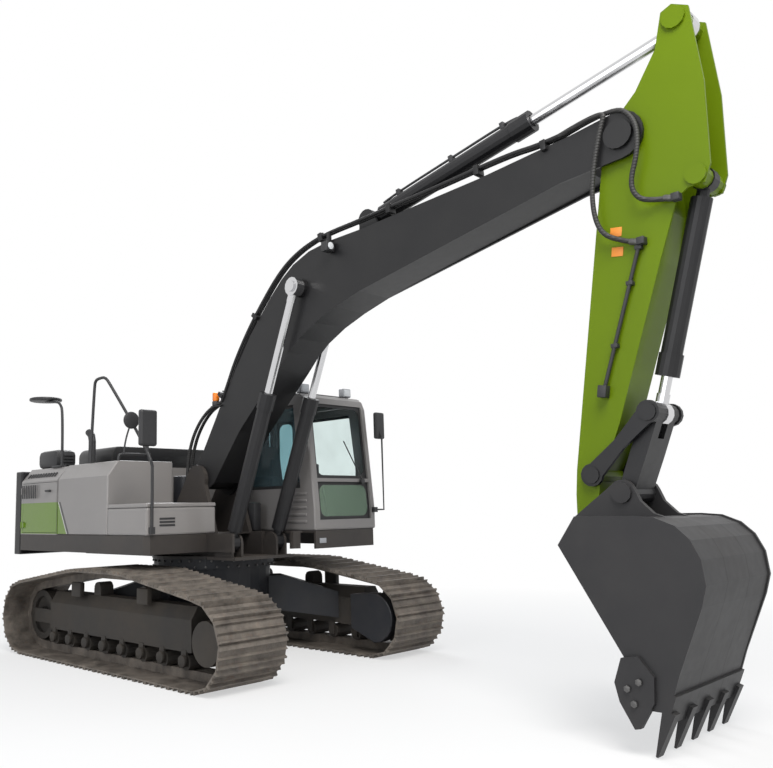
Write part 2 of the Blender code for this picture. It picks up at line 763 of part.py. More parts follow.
def motor_guard(side):
    """The rounded cover inboard of the travel motor."""
    centre = (TUMBLER_DISTANCE / 2, AXLE_Z)
    inner = TRACK_GAUGE / 2 - MOTOR_REACH - DRIVE_PLATE - 2 * SEAT_GAP
    outline = arc(centre, GUARD_RADIUS, -90, 90, 12)
    outline += [(centre[0] - GUARD_BACK, AXLE_Z + GUARD_RADIUS * 0.9),
                (centre[0] - GUARD_BACK, AXLE_Z - GUARD_RADIUS * 0.5)]
    low, high = sorted((side * inner, side * (inner - GUARD_DEPTH)))
    return softened(plate(outline, low, high), 0.012, 1)


def car_body():
    """The round tower that carries the swing ring, on four legs to the track frames."""
    tower = bar((0, 0, TOWER_BOTTOM_Z), (0, 0, TOWER_TOP_Z), TOWER_RADIUS, sides=28)
    legs = []
    for sign_x in (-1, 1):
        for side in (-1, 1):
            reach = (LEG_END_Y - SEAT_GAP) / cos(LEG_ANGLE)
            overreach = reach + LEG_WIDTH
            slope = (LEG_ROOT_TOP_Z - LEG_END_TOP_Z) / (reach - TOWER_RADIUS / 2)
            rise = (LEG_ROOT_BOTTOM_Z - LEG_END_BOTTOM_Z) / (reach - TOWER_RADIUS / 2)
            outline = (
                (TOWER_RADIUS / 2, LEG_ROOT_BOTTOM_Z), (TOWER_RADIUS * 1.2, LEG_ROOT_BOTTOM_Z),
                (overreach, LEG_END_BOTTOM_Z - rise * LEG_WIDTH),
                (overreach, LEG_END_TOP_Z - slope * LEG_WIDTH),
                (TOWER_RADIUS * 1.2, LEG_ROOT_TOP_Z), (TOWER_RADIUS / 2, LEG_ROOT_TOP_Z),
            )
            leg = plate(outline, -LEG_WIDTH / 2, LEG_WIDTH / 2)
            heading_angle = side * (pi / 2 - sign_x * LEG_ANGLE)
            legs.append(moved(leg, Matrix.Rotation(heading_angle, 4, "Z")))
    body = union(tower, *legs)
    far = TRACK_GAUGE
    ends = [
        box((-far, LEG_END_Y - SEAT_GAP, 0), (far, far, CAB_TOP_Z)),
        box((-far, -far, 0), (far, -LEG_END_Y + SEAT_GAP, CAB_TOP_Z)),
        bar((0, 0, 0), (0, 0, CAB_TOP_Z), BEARING_INNER - TOWER_WALL, sides=24),
    ]
    return cut(body, *ends)


def swing_ring():
    low = TOWER_TOP_Z + SEAT_GAP
    high = TOWER_TOP_Z + BEARING_HEIGHT
    ring = bar((0, 0, low), (0, 0, high), BEARING_RADIUS, sides=32)
    return cut(ring, bar((0, 0, low - OVERRUN), (0, 0, high + OVERRUN), BEARING_INNER, sides=32))


# Upper structure


def deck_outline():
    corner = DECK_CORNER
    return [
        (DECK_BACK_X, -UPPER_HALF + corner), (DECK_BACK_X + corner, -UPPER_HALF),
        (RIGHT_FRONT_X - corner, -UPPER_HALF), (RIGHT_FRONT_X, -UPPER_HALF + corner),
        (RIGHT_FRONT_X, CENTRE_RIGHT_Y), (CENTRE_FRONT_X, CENTRE_RIGHT_Y),
        (CENTRE_FRONT_X, CENTRE_LEFT_Y), (CENTRE_FRONT_X + corner, CAB_INNER_Y),
        (CAB_FRONT_X, CAB_INNER_Y), (CAB_FRONT_X, UPPER_HALF - corner),
        (CAB_FRONT_X - corner, UPPER_HALF), (DECK_BACK_X + corner, UPPER_HALF),
        (DECK_BACK_X, UPPER_HALF - corner),
    ]


def revolving_frame():
    """The deck with its skirts, the centre beams and the brackets for boom and cylinders."""
    deck = plate(deck_outline(), SKIRT_BOTTOM_Z, DECK_TOP_Z, "XY")
    under = DECK_TOP_Z - DECK_PLATE
    web = BOOM_HALF + RUNNING_GAP / 2
    outer_web = web + BRACKET_PLATE
    pockets = [
        box((DECK_BACK_X + SKIRT_WALL, -UPPER_HALF + SKIRT_WALL, 0),
            (RIGHT_FRONT_X - SKIRT_WALL, BOOM_Y - outer_web - OVERRUN, under)),
        box((DECK_BACK_X + SKIRT_WALL, BOOM_Y + outer_web + OVERRUN, 0),
            (CENTRE_FRONT_X - SKIRT_WALL, CAB_INNER_Y, under)),
        box((DECK_BACK_X + SKIRT_WALL, CAB_INNER_Y - OVERRUN, 0),
            (CAB_FRONT_X - SKIRT_WALL, UPPER_HALF - SKIRT_WALL, under)),
        box((DECK_BACK_X + SKIRT_WALL, BOOM_Y - web, 0), (CENTRE_FRONT_X - SKIRT_WALL, BOOM_Y + web, under)),
    ]
    well = box((WELL_BACK_X, CENTRE_RIGHT_Y + SKIRT_WALL, 0),
               (CENTRE_FRONT_X + OVERRUN, CENTRE_LEFT_Y - SKIRT_WALL, DECK_TOP_Z + OVERRUN))
    deck = cut(deck, *pockets)
    deck = cut(deck, well)
    pieces = [bar((0, 0, CENTRE_PLATE_Z), (0, 0, CENTRE_PLATE_Z + CENTRE_PLATE), BEARING_RADIUS + OVERRUN,
                  sides=32)]
    foot_x, foot_z = BOOM_FOOT
    base_x, base_z = BOOM_CYLINDER_BASE
    ear = BASE_EAR_RADIUS
    for side in (-1, 1):
        low, high = sorted((BOOM_Y + side * web, BOOM_Y + side * outer_web))
        beam = [
            (DECK_BACK_X + SKIRT_WALL, CENTRE_PLATE_Z), (WEB_FRONT_X, CENTRE_PLATE_Z),
            (WEB_FRONT_X, DECK_TOP_Z), (foot_x + 0.34, DECK_TOP_Z),
            *arc(BOOM_FOOT, BOOM_FOOT_RADIUS, -20, 150, 8),
            (foot_x - 0.62, DECK_TOP_Z), (DECK_BACK_X + SKIRT_WALL, DECK_TOP_Z),
        ]
        pieces.append(plate(beam, low, high))
        middle = BOOM_Y + side * BOOM_CYLINDER_HALF_SPAN
        for edge in (-1, 1):
            face = middle + edge * (BOOM_EYE_HALF + SEAT_GAP)
            low, high = sorted((face, face + edge * BASE_EAR_PLATE))
            outline = [(base_x + ear, CENTRE_PLATE_Z), *arc(BOOM_CYLINDER_BASE, ear, 0, 180, 8),
                       (base_x - 2 * ear, CENTRE_PLATE_Z)]
            pieces.append(plate(outline, low, high))
    half = BOOM_CYLINDER_HALF_SPAN + BOOM_EYE_HALF + BASE_EAR_PLATE + OVERRUN
    floor = box((base_x - 3 * ear, BOOM_Y - half, CENTRE_PLATE_Z), (CENTRE_FRONT_X + OVERRUN, BOOM_Y + half,
                                                                   CENTRE_PLATE_Z + CENTRE_PLATE))
    return union(deck, floor, *pieces)


def counterweight():
    """A casting with a round back and soft corners, with a pocket against the engine."""
    half = [(x * TAIL_RADIUS, y * TAIL_HALF) for x, y in TAIL_SHARES]
    outline = [(TAIL_FRONT_X, -TAIL_HALF)] + [(TAIL_FRONT_X, TAIL_HALF)]
    outline += [(-x, y) for x, y in reversed(half)] + [(-x, -y) for x, y in half[1:]]
    block = softened(plate(outline, TAIL_BOTTOM_Z, TAIL_TOP_Z, "XY"), TAIL_BEVEL, 2, radians(50))
    wall = TAIL_POCKET_WALL
    pocket = box((-TAIL_RADIUS + 2.2 * wall, -TAIL_HALF + 2 * wall, TAIL_BOTTOM_Z + 2 * wall),
                 (TAIL_FRONT_X + OVERRUN, TAIL_HALF - 2 * wall, TAIL_TOP_Z - wall))
    return cut(block, pocket)


def shoulder_section(low_y, high_y, low_z, high_z, shoulder_z, right=True, left=True):
    """A housing's section with its upper outer edge sloped off."""
    section = [(low_y, low_z), (high_y, low_z)]
    if left:
        section += [(high_y, shoulder_z), (high_y - HOUSE_SHOULDER_IN, high_z)]
    else:
        section += [(high_y, high_z)]
    if right:
        section += [(low_y + HOUSE_SHOULDER_IN, high_z), (low_y, shoulder_z)]
    else:
        section += [(low_y, high_z)]
    return section


def engine_house():
    """The hollow sheet housing over the engine, with its doorways and top hatch."""
    low_z = DECK_TOP_Z + SEAT_GAP
    half = UPPER_HALF - 0.003
    section = shoulder_section(-half, half, low_z, HOUSE_TOP_Z, HOUSE_SHOULDER_Z)
    back = plate(section, HOUSE_BACK_X, RIGHT_BAY_FRONT_X - DOOR_GAP, "YZ")
    middle = box((RIGHT_BAY_FRONT_X - OVERRUN, TANK_INNER_Y + DOOR_GAP, low_z),
                 (MIDDLE_FRONT_X, CAB_INNER_Y + OVERRUN, HOUSE_TOP_Z))
    left = plate(
        shoulder_section(CAB_INNER_Y, half, low_z, HOUSE_TOP_Z, HOUSE_SHOULDER_Z, right=False),
        RIGHT_BAY_FRONT_X - OVERRUN, LEFT_BAY_FRONT_X, "YZ",
    )
    house = union(back, middle, left)
    wall = HOUSE_WALL
    inner = shoulder_section(-half + wall, half - wall, low_z - OVERRUN, HOUSE_TOP_Z - wall,
                             HOUSE_SHOULDER_Z - wall / 2)
    hollow = plate(inner, HOUSE_BACK_X + wall, RIGHT_BAY_FRONT_X - DOOR_GAP - wall, "YZ")
    hollow_middle = box((RIGHT_BAY_FRONT_X - 2 * wall - DOOR_GAP, TANK_INNER_Y + wall + DOOR_GAP,
                         low_z - OVERRUN), (MIDDLE_FRONT_X - wall, CAB_INNER_Y + 2 * wall, HOUSE_TOP_Z - wall))
    hollow_left = plate(
        shoulder_section(CAB_INNER_Y + wall, half - wall, low_z - OVERRUN, HOUSE_TOP_Z - wall,
                         HOUSE_SHOULDER_Z - wall / 2, right=False),
        RIGHT_BAY_FRONT_X - 2 * wall - DOOR_GAP, LEFT_BAY_FRONT_X - wall, "YZ",
    )
    right_way = box((RIGHT_DOOR[0] - DOOR_GAP, -UPPER_HALF - OVERRUN, RIGHT_DOOR[2] - DOOR_GAP),
                    (RIGHT_DOOR[1] + DOOR_GAP, -UPPER_HALF + HOUSE_WALL + OVERRUN, RIGHT_DOOR[3] + DOOR_GAP))
    left_way = box((LEFT_DOOR[0] - DOOR_GAP, UPPER_HALF - HOUSE_WALL - OVERRUN, LEFT_DOOR[2] - DOOR_GAP),
                   (LEFT_DOOR[1] + DOOR_GAP, UPPER_HALF + OVERRUN, LEFT_DOOR[3] + DOOR_GAP))
    hatch = box((HOOD_BACK_X + DOOR_MARGIN, HOOD_RIGHT_Y + DOOR_MARGIN, HOUSE_TOP_Z - 2 * wall),
                (HOOD_FRONT_X - DOOR_MARGIN, HOOD_LEFT_Y - DOOR_MARGIN, HOUSE_TOP_Z + OVERRUN))
    return cut(house, hollow, hollow_middle, hollow_left, right_way, left_way, hatch)


# Side doors: (back x, front x, low z, high z)
RIGHT_DOOR = (HOUSE_BACK_X + DOOR_MARGIN, RIGHT_BAY_FRONT_X - DOOR_MARGIN / 2,
              DECK_TOP_Z + DOOR_MARGIN / 2, HOUSE_SHOULDER_Z - DOOR_MARGIN / 2)
LEFT_DOOR = (HOUSE_BACK_X + DOOR_MARGIN, LEFT_BAY_FRONT_X - DOOR_MARGIN,
             DECK_TOP_Z + DOOR_MARGIN / 2, HOUSE_SHOULDER_Z - DOOR_MARGIN / 2)
RIGHT_HINGE = (RIGHT_DOOR[0] - HINGE_OUT / 2, -UPPER_HALF - HINGE_OUT)
LEFT_HINGE = (LEFT_DOOR[0] - HINGE_OUT / 2, UPPER_HALF + HINGE_OUT)
LID_HINGE = (TANK_FRONT_X + HINGE_OUT, TOOLBOX_TOP_Z - HINGE_OUT / 3)
HOOD_HINGE = (HOOD_BACK_X, HOUSE_TOP_Z + HINGE_OUT)
CAB_HINGE = (DOOR_BACK_X - 2 * HINGE_OUT, CAB_OUTER_Y + HINGE_OUT)


def side_door(extent, hinge, side):
    """A flat sheet door, in its hinge's frame."""
    back, front, low, high = extent
    outer = side * (UPPER_HALF - 0.003)
    inner = outer - side * PANEL_PLATE
    low_y, high_y = sorted((outer, inner))
    door = box((back, low_y, low), (front, high_y, high))
    knuckles = []
    for share in (0.15, 0.85):
        z = low + (high - low) * share
        knuckles.append(bar((hinge[0], hinge[1], z - 0.04), (hinge[0], hinge[1], z + 0.04), HINGE_OUT * 0.7,
                            sides=FINE_SIDES))
        strap_y = sorted((hinge[1], outer + side * SEAT_GAP))
        knuckles.append(box((hinge[0], strap_y[0], z - 0.03), (back + 0.05, strap_y[1], z + 0.03)))
        strap_y = sorted((hinge[1], outer - side * PANEL_PLATE / 4))
        knuckles.append(box((back + SEAT_GAP, strap_y[0], z - 0.03), (back + 0.05, strap_y[1], z + 0.03)))
    door = union(door, *knuckles)
    return moved(door, Matrix.Translation((-hinge[0], -hinge[1], 0)))


def tank_box():
    """Fuel and hydraulic tanks under one cover, stepped down in front."""
    low_z = DECK_TOP_Z + SEAT_GAP
    section = shoulder_section(-UPPER_HALF + 0.003, TANK_INNER_Y, low_z, HOUSE_TOP_Z + 0.01,
                               HOUSE_SHOULDER_Z, left=False)
    return softened(plate(section, RIGHT_BAY_FRONT_X, TANK_FRONT_X, "YZ"), 0.012, 1)


def toolbox():
    low_z = DECK_TOP_Z + SEAT_GAP
    low = (TANK_FRONT_X + SEAT_GAP, -UPPER_HALF + 0.003, low_z)
    high = (RIGHT_FRONT_X, RIGHT_INNER_Y, TOOLBOX_TOP_Z - LID_DEPTH)
    shell = softened(box(low, high), 0.02, 2)
    wall = HOUSE_WALL
    hollow = box((low[0] + wall, low[1] + wall, low[2] + wall),
                 (high[0] - wall, high[1] - wall, high[2] + OVERRUN))
    return cut(shell, hollow)


def toolbox_lid():
    """The lid, in its hinge's frame."""
    low = (LID_HINGE[0], -UPPER_HALF + 0.001, TOOLBOX_TOP_Z - LID_DEPTH + SEAT_GAP)
    high = (RIGHT_FRONT_X + 0.002, RIGHT_INNER_Y + 0.002, TOOLBOX_TOP_Z)
    lid = softened(box(low, high), 0.012, 2)
    return moved(lid, Matrix.Translation((-LID_HINGE[0], 0, -LID_HINGE[1])))


def hood():
    """The engine hood with its raised middle, in its hinge's frame."""
    low_z = HOUSE_TOP_Z + SEAT_GAP
    high_z = low_z + HOOD_RISE
    shoulder = HOOD_RISE * 0.6
    section = (
        (HOOD_RIGHT_Y, low_z), (HOOD_LEFT_Y, low_z), (HOOD_LEFT_Y, high_z - shoulder),
        (HOOD_LEFT_Y - shoulder, high_z), (HOOD_RIGHT_Y + shoulder, high_z),
        (HOOD_RIGHT_Y, high_z - shoulder),
    )
    shell = plate(section, HOOD_BACK_X, HOOD_FRONT_X, "YZ")
    inner = (
        (HOOD_RIGHT_Y + HOOD_PLATE, low_z - OVERRUN), (HOOD_LEFT_Y - HOOD_PLATE, low_z - OVERRUN),
        (HOOD_LEFT_Y - HOOD_PLATE, high_z - shoulder - HOOD_PLATE / 2),
        (HOOD_LEFT_Y - shoulder, high_z - HOOD_PLATE), (HOOD_RIGHT_Y + shoulder, high_z - HOOD_PLATE),
        (HOOD_RIGHT_Y + HOOD_PLATE, high_z - shoulder - HOOD_PLATE / 2),
    )
    shell = cut(shell, plate(inner, HOOD_BACK_X + HOOD_PLATE, HOOD_FRONT_X - HOOD_PLATE, "YZ"))
    return moved(shell, Matrix.Translation((-HOOD_HINGE[0], 0, -HOOD_HINGE[1])))


# Cab


def cab_profile(inset=0.0, bottom=CAB_BOTTOM_Z):
    """The cab's side outline, with its leaning windscreen and round roof edges."""
    front = CAB_FRONT_X - inset
    back = CAB_BACK_X + inset
    brow = CAB_BROW_X - inset
    top = CAB_TOP_Z - inset
    return [
        (back, bottom), (front, bottom), (front, FRONT_LOW_Z + 0.12), (brow + 0.02, CAB_BROW_Z - 0.04),
        (brow - 0.025, top - 0.055), (brow - 0.09, top - 0.012), (brow - 0.18, top),
        (back + 0.17, top), (back + 0.06, top - 0.03), (back, top - 0.13),
    ]


def slant(z):
    """How far the windscreen's plane has come back at a height."""
    low = FRONT_LOW_Z + 0.12
    if z <= low:
        return CAB_FRONT_X
    share = (z - low) / (CAB_BROW_Z - 0.04 - low)
    return CAB_FRONT_X + (CAB_BROW_X + 0.02 - CAB_FRONT_X) * share


def door_outline(margin=0.0):
    return [
        (DOOR_BACK_X + margin, DOOR_LOW_Z + margin), (DOOR_FRONT_X - margin, DOOR_LOW_Z + margin),
        (DOOR_FRONT_X - margin, 1.80), (DOOR_FRONT_X - 0.11 - margin, DOOR_HIGH_Z - margin),
        (DOOR_BACK_X + margin, DOOR_HIGH_Z - margin),
    ]


def front_band(low_z, high_z, depth_in, depth_out, margin):
    """A block that follows the windscreen's lean between two heights."""
    heights = [low_z] + [z for z in (FRONT_LOW_Z + 0.12,) if low_z < z < high_z] + [high_z]
    outline = [(slant(z) + depth_out, z) for z in heights]
    outline += [(slant(z) - depth_in, z) for z in reversed(heights)]
    return plate(outline, CAB_INNER_Y + margin, CAB_OUTER_Y - margin)


def cab_shell():
    shell = softened(plate(cab_profile(), CAB_INNER_Y, CAB_OUTER_Y), CAB_EDGE, 2, radians(60))
    room = plate(cab_profile(CAB_WALL, CAB_BOTTOM_Z + CAB_FLOOR), CAB_INNER_Y + CAB_WALL,
                 CAB_OUTER_Y - CAB_WALL)
    deep = 2 * CAB_WALL
    openings = [
        front_band(FRONT_BAR_HIGH_Z, FRONT_HIGH_Z, deep, deep, FRONT_PANE_MARGIN),
        front_band(FRONT_LOW_Z, FRONT_BAR_LOW_Z, deep, deep, FRONT_PANE_MARGIN),
        plate(RIGHT_PANE, CAB_INNER_Y - deep, CAB_INNER_Y + deep),
        plate(QUARTER_PANE, CAB_OUTER_Y - deep, CAB_OUTER_Y + deep),
        plate(door_outline(-DOOR_GAP), CAB_OUTER_Y - deep, CAB_OUTER_Y + deep),
        box((CAB_BACK_X - deep, CAB_INNER_Y + FRONT_PANE_MARGIN, REAR_PANE_LOW_Z),
            (CAB_BACK_X + deep, CAB_OUTER_Y - FRONT_PANE_MARGIN, REAR_PANE_HIGH_Z)),
    ]
    for opening in (room, *openings):
        shell = cut(shell, opening)
    return shell


def cab_door():
    """The door's frame and lower panel, in its hinge's frame."""
    outer = CAB_OUTER_Y - 0.002
    inner = outer - CAB_WALL + 0.008
    leaf = plate(door_outline(), inner, outer)
    window = door_outline(DOOR_PANE_MARGIN)
    window[0] = (window[0][0], DOOR_PANE_LOW_Z)
    window[1] = (window[1][0], DOOR_PANE_LOW_Z)
    window[2] = (window[2][0], DOOR_PANE_LOW_Z + 0.05)
    leaf = cut(leaf, plate(window, inner - OVERRUN, outer + OVERRUN))
    knuckles = []
    for z in (DOOR_LOW_Z + 0.15, DOOR_LOW_Z + 0.65, DOOR_HIGH_Z - 0.2):
        knuckles.append(bar((*CAB_HINGE, z - 0.045), (*CAB_HINGE, z + 0.045), HINGE_OUT * 0.8, sides=FINE_SIDES))
        knuckles.append(box((CAB_HINGE[0], CAB_OUTER_Y + SEAT_GAP, z - 0.03),
                            (DOOR_BACK_X + 0.05, CAB_HINGE[1] + 0.004, z + 0.03)))
        knuckles.append(box((DOOR_BACK_X + SEAT_GAP, outer - 0.006, z - 0.03),
                            (DOOR_BACK_X + 0.05, CAB_HINGE[1] + 0.004, z + 0.03)))
    leaf = union(leaf, *knuckles)
    return moved(leaf, Matrix.Translation((-CAB_HINGE[0], -CAB_HINGE[1], 0)))


def shrunk(outline, by):
    """An outline of a convex pane, with every corner drawn in along both its edges."""
    middle = Vector((sum(p for p, _ in outline), sum(q for _, q in outline))) / len(outline)
    return [
        (p + by * (1 if p < middle.x else -1), q + by * (1 if q < middle.y else -1))
        for p, q in outline
    ]


def panes():
    gap = SEAT_GAP
    deep = CAB_WALL / 2
    node("windscreen_upper", "tinted_glass", "upper",
         front_band(FRONT_BAR_HIGH_Z + gap, FRONT_HIGH_Z - gap, deep + PANE, -deep, FRONT_PANE_MARGIN + gap))
    node("windscreen_lower", "tinted_glass", "upper",
         front_band(FRONT_LOW_Z + gap, FRONT_BAR_LOW_Z - gap, deep + PANE, -deep, FRONT_PANE_MARGIN + gap))
    node("right_window", "tinted_glass", "upper",
         plate(shrunk(RIGHT_PANE, gap), CAB_INNER_Y + deep, CAB_INNER_Y + deep + PANE))
    node("quarter_window", "tinted_glass", "upper",
         plate(shrunk(QUARTER_PANE, gap), CAB_OUTER_Y - deep - PANE, CAB_OUTER_Y - deep))
    node("rear_window", "tinted_glass", "upper",
         box((CAB_BACK_X + deep, CAB_INNER_Y + FRONT_PANE_MARGIN + gap, REAR_PANE_LOW_Z + gap),
             (CAB_BACK_X + deep + PANE, CAB_OUTER_Y - FRONT_PANE_MARGIN - gap, REAR_PANE_HIGH_Z - gap)))
    window = door_outline(DOOR_PANE_MARGIN)
    window[0] = (window[0][0], DOOR_PANE_LOW_Z)
    window[1] = (window[1][0], DOOR_PANE_LOW_Z)
    window[2] = (window[2][0], DOOR_PANE_LOW_Z + 0.05)
    middle = CAB_OUTER_Y - deep
    door_glass = plate(shrunk(window, gap), middle - PANE / 2, middle + PANE / 2)
    node("door_window", "tinted_glass", "cab_door",
         moved(door_glass, Matrix.Translation((-CAB_HINGE[0], -CAB_HINGE[1], 0))))


def seat():
    """Driver's seat with its consoles, on the cab's floor."""
    floor = CAB_BOTTOM_Z + CAB_FLOOR + SEAT_GAP
    middle = (CAB_INNER_Y + CAB_OUTER_Y) / 2
    base = box((0.02, middle - 0.18, floor), (0.42, middle + 0.18, floor + 0.32))
    cushion = softened(box((-0.02, middle - 0.25, floor + 0.30), (0.50, middle + 0.25, floor + 0.45)), 0.04, 2)
    back = plate(((-0.10, floor + 0.36), (0.06, floor + 0.36), (-0.05, floor + 1.00), (-0.17, floor + 1.00)),
                 middle - 0.23, middle + 0.23)
    head = softened(box((-0.20, middle - 0.13, floor + 0.98), (-0.09, middle + 0.13, floor + 1.22)), 0.03, 2)
    arms = []
    for side in (-1, 1):
        y = middle + side * 0.34
        arms.append(softened(box((-0.05, y - 0.075, floor + 0.28), (0.52, y + 0.075, floor + 0.60)), 0.03, 1))
        arms.append(bar((0.45, y, floor + 0.58), (0.47, y, floor + 0.80), 0.022, sides=FINE_SIDES))
        arms.append(box((0.05, min(middle, y), floor + 0.20), (0.25, max(middle, y), floor + 0.34)))
    return union(base, cushion, back, head, *arms)


# Boom, arm and bucket


def boom():
    """The gooseneck box boom, in its own frame: two side plates and the wrap between them."""
    top = [(s * BOOM_LENGTH, r * BOOM_RISE) for s, r in BOOM_TOP_SHARES]
    low = [(s * BOOM_LENGTH, r * BOOM_RISE) for s, r in BOOM_LOW_SHARES]
    foot = arc((0, 0), BOOM_FOOT_RADIUS, 290, 130, 9)
    tip = arc((BOOM_LENGTH, 0), BOOM_TIP_RADIUS, 80, -110, 10)
    outline = foot + top + tip + low
    pieces = []
    for side in (-1, 1):
        a, b = sorted((side * BOOM_HALF, side * (BOOM_HALF - BOOM_PLATE)))
        pieces.append(plate(outline, a, b))
    wrap = top[:-1] + [(TIP_CAP_X, top[-1][1] * 1.05), (TIP_CAP_X, low[0][1] - 0.03)] + low[1:]
    inner = BOOM_HALF - BOOM_PLATE / 2
    pieces.append(plate(strip(wrap[::-1], BOOM_PLATE), -inner, inner))
    boss = BOOM_HALF + RUNNING_GAP / 2 - SEAT_GAP
    pieces.append(cross_bar((0, 0), -boss, boss, BOOM_FOOT_BOSS, 16))
    eye = BOOM_CYLINDER_HALF_SPAN - BOOM_EYE_HALF - SEAT_GAP
    pieces.append(cross_bar(BOOM_CYLINDER_EYE, -eye, eye, BOOM_EYE_RADIUS, 16))
    for side in (-1, 1):
        face = ARM_HALF + SEAT_GAP
        a, b = sorted((side * face, side * (BOOM_HALF - BOOM_PLATE / 2)))
        pieces.append(cross_bar((BOOM_LENGTH, 0), a, b, BOOM_TIP_RADIUS * 0.95, 16))
        a, b = sorted((side * (BOOM_HALF - BOOM_PLATE / 2), side * (BOOM_HALF + 0.03)))
        pieces.append(cross_bar((BOOM_LENGTH, 0), a, b, BOOM_TIP_RADIUS * 0.6, 16))
        low_face = ARM_EYE_HALF + SEAT_GAP
        a, b = sorted((side * low_face, side * (low_face + ARM_EAR_PLATE)))
        x, z = ARM_CYLINDER_BASE
        ear = [(x + 0.11, z - 0.24), *arc(ARM_CYLINDER_BASE, ARM_EYE_RADIUS, -5, 185, 8), (x - 0.18, z - 0.15)]
        pieces.append(plate(ear, a, b))
    return union(pieces[0], *pieces[1:])


def arm():
    """The box arm, in its own frame."""
    pieces = []
    outline = list(ARM_LOW_EDGE) + list(ARM_TOP_EDGE)
    for side in (-1, 1):
        a, b = sorted((side * ARM_HALF, side * (ARM_HALF - ARM_PLATE)))
        pieces.append(plate(outline, a, b))
    inner = ARM_HALF - ARM_PLATE / 2
    low = list(ARM_LOW_EDGE[2:])
    top = [(2.840, 0.082), (2.700, 0.045), (2.500, 0.045), (2.360, 0.105), (2.150, 0.158), (0.959, 0.368), (0.60, 0.40), (0.10, 0.30), (-0.40, 0.40),
           (-0.52, 0.26)]
    pieces.append(plate(strip(low, ARM_PLATE), -inner, inner))
    pieces.append(plate(strip(top, ARM_PLATE), -inner, inner))
    pieces.append(cross_bar((0, 0), -ARM_HALF, ARM_HALF, ARM_ROOT_BOSS, 16))
    pieces.append(cross_bar((ARM_LENGTH, 0), -ARM_HALF, ARM_HALF, ARM_TIP_RADIUS, 16))
    pieces.append(cross_bar(LEVER_PIN, -ARM_HALF - SEAT_GAP * 0, ARM_HALF, LEVER_END_RADIUS * 0.8, 12))
    for side in (-1, 1):
        a, b = sorted((side * (ARM_EYE_HALF + SEAT_GAP), side * (ARM_HALF + 0.02)))
        pieces.append(cross_bar(ARM_EYE, a, b, 0.085, 12))
        a, b = sorted((side * (BUCKET_EYE_HALF + SEAT_GAP), side * (ARM_HALF + 0.02)))
        pieces.append(cross_bar(BUCKET_CYLINDER_BASE, a, b, 0.075, 12))
    return union(pieces[0], *pieces[1:])


def barrel(radius, length, eye_radius, eye_half):
    """A cylinder barrel, in its own frame, with its base eye and gland."""
    gland = radius * 1.14
    neck = bar((eye_radius * 0.6, 0, 0), (eye_radius * 1.7, 0, 0), eye_half * 0.9, sides=12)
    body = bar((eye_radius * 1.5, 0, 0), (length - radius * 1.6, 0, 0), radius, sides=16)
    head = bar((length - radius * 2.2, 0, 0), (length, 0, 0), gland, sides=16)
    eye = cross_bar((0, 0), -eye_half, eye_half, eye_radius, 14)
    return union(body, neck, head, eye)


def bored_barrel(radius, length, eye_radius, eye_half, rod_radius, stroke):
    """The barrel with its bore open at the gland."""
    whole = barrel(radius, length, eye_radius, eye_half)
    bore = bar((length - stroke, 0, 0), (length + OVERRUN, 0, 0), rod_radius + RUNNING_GAP, sides=SMALL_SIDES)
    return cut(whole, bore)


def rod(start, reach, radius, eye_radius, eye_half, collar=0.0, side=1):
    """A piston rod with its eye, in the cylinder's frame."""
    shaft = bar((start, 0, 0), (reach - eye_radius * 0.7, 0, 0), radius, sides=SMALL_SIDES)
    neck = bar((reach - eye_radius * 1.7, 0, 0), (reach - eye_radius * 0.5, 0, 0), min(radius * 1.25, eye_half * 0.94),
               sides=SMALL_SIDES)
    eye = cross_bar((reach, 0), -eye_half, eye_half, eye_radius, 14)
    pieces = [neck, eye]
    if collar:
        a, b = sorted((side * eye_half * 0.5, side * (eye_half + collar)))
        pieces.append(cross_bar((reach, 0), a, b, eye_radius * 0.6, 12))
    return union(shaft, *pieces)


def lever_pair():
    """Both bucket levers joined by the pin through the arm, in the lever pin's frame."""
    top = (LEVER_TOP[0] - LEVER_PIN[0], LEVER_TOP[1] - LEVER_PIN[1])
    outline = dog_bone((0, 0), top, LEVER_END_RADIUS, LEVER_END_RADIUS, LEVER_WAIST)
    pieces = []
    for side in (-1, 1):
        inner = ARM_HALF + RUNNING_GAP
        a, b = sorted((side * inner, side * (inner + LEVER_PLATE)))
        pieces.append((a, b))
    return pieces, outline, top


def lever(side):
    pieces, outline, top = lever_pair()
    a, b = pieces[0] if side < 0 else pieces[1]
    blade = plate(outline, a, b)
    outer = side * (ARM_HALF + RUNNING_GAP + LEVER_PLATE + LEVER_CAP)
    foot_face = side * (ARM_HALF + SEAT_GAP)
    top_face = side * (LINK_HALF + SEAT_GAP)
    bosses = []
    for point, face in (((0, 0), foot_face), (top, top_face)):
        a, b = sorted((face, outer))
        bosses.append(cross_bar(point, a, b, LEVER_END_RADIUS * 0.75, 12))
    return union(blade, *bosses)


def levers():
    """Both levers and the upper pin that ties them together."""
    top = lever_pair()[2]
    reach = ARM_HALF + RUNNING_GAP + LEVER_PLATE / 2
    inner = BUCKET_EYE_HALF + RUNNING_GAP / 2
    return lever(-1), lever(1), top, reach, inner


def bucket_side_loop():
    return list(BUCKET_SIDE_OUTLINE)


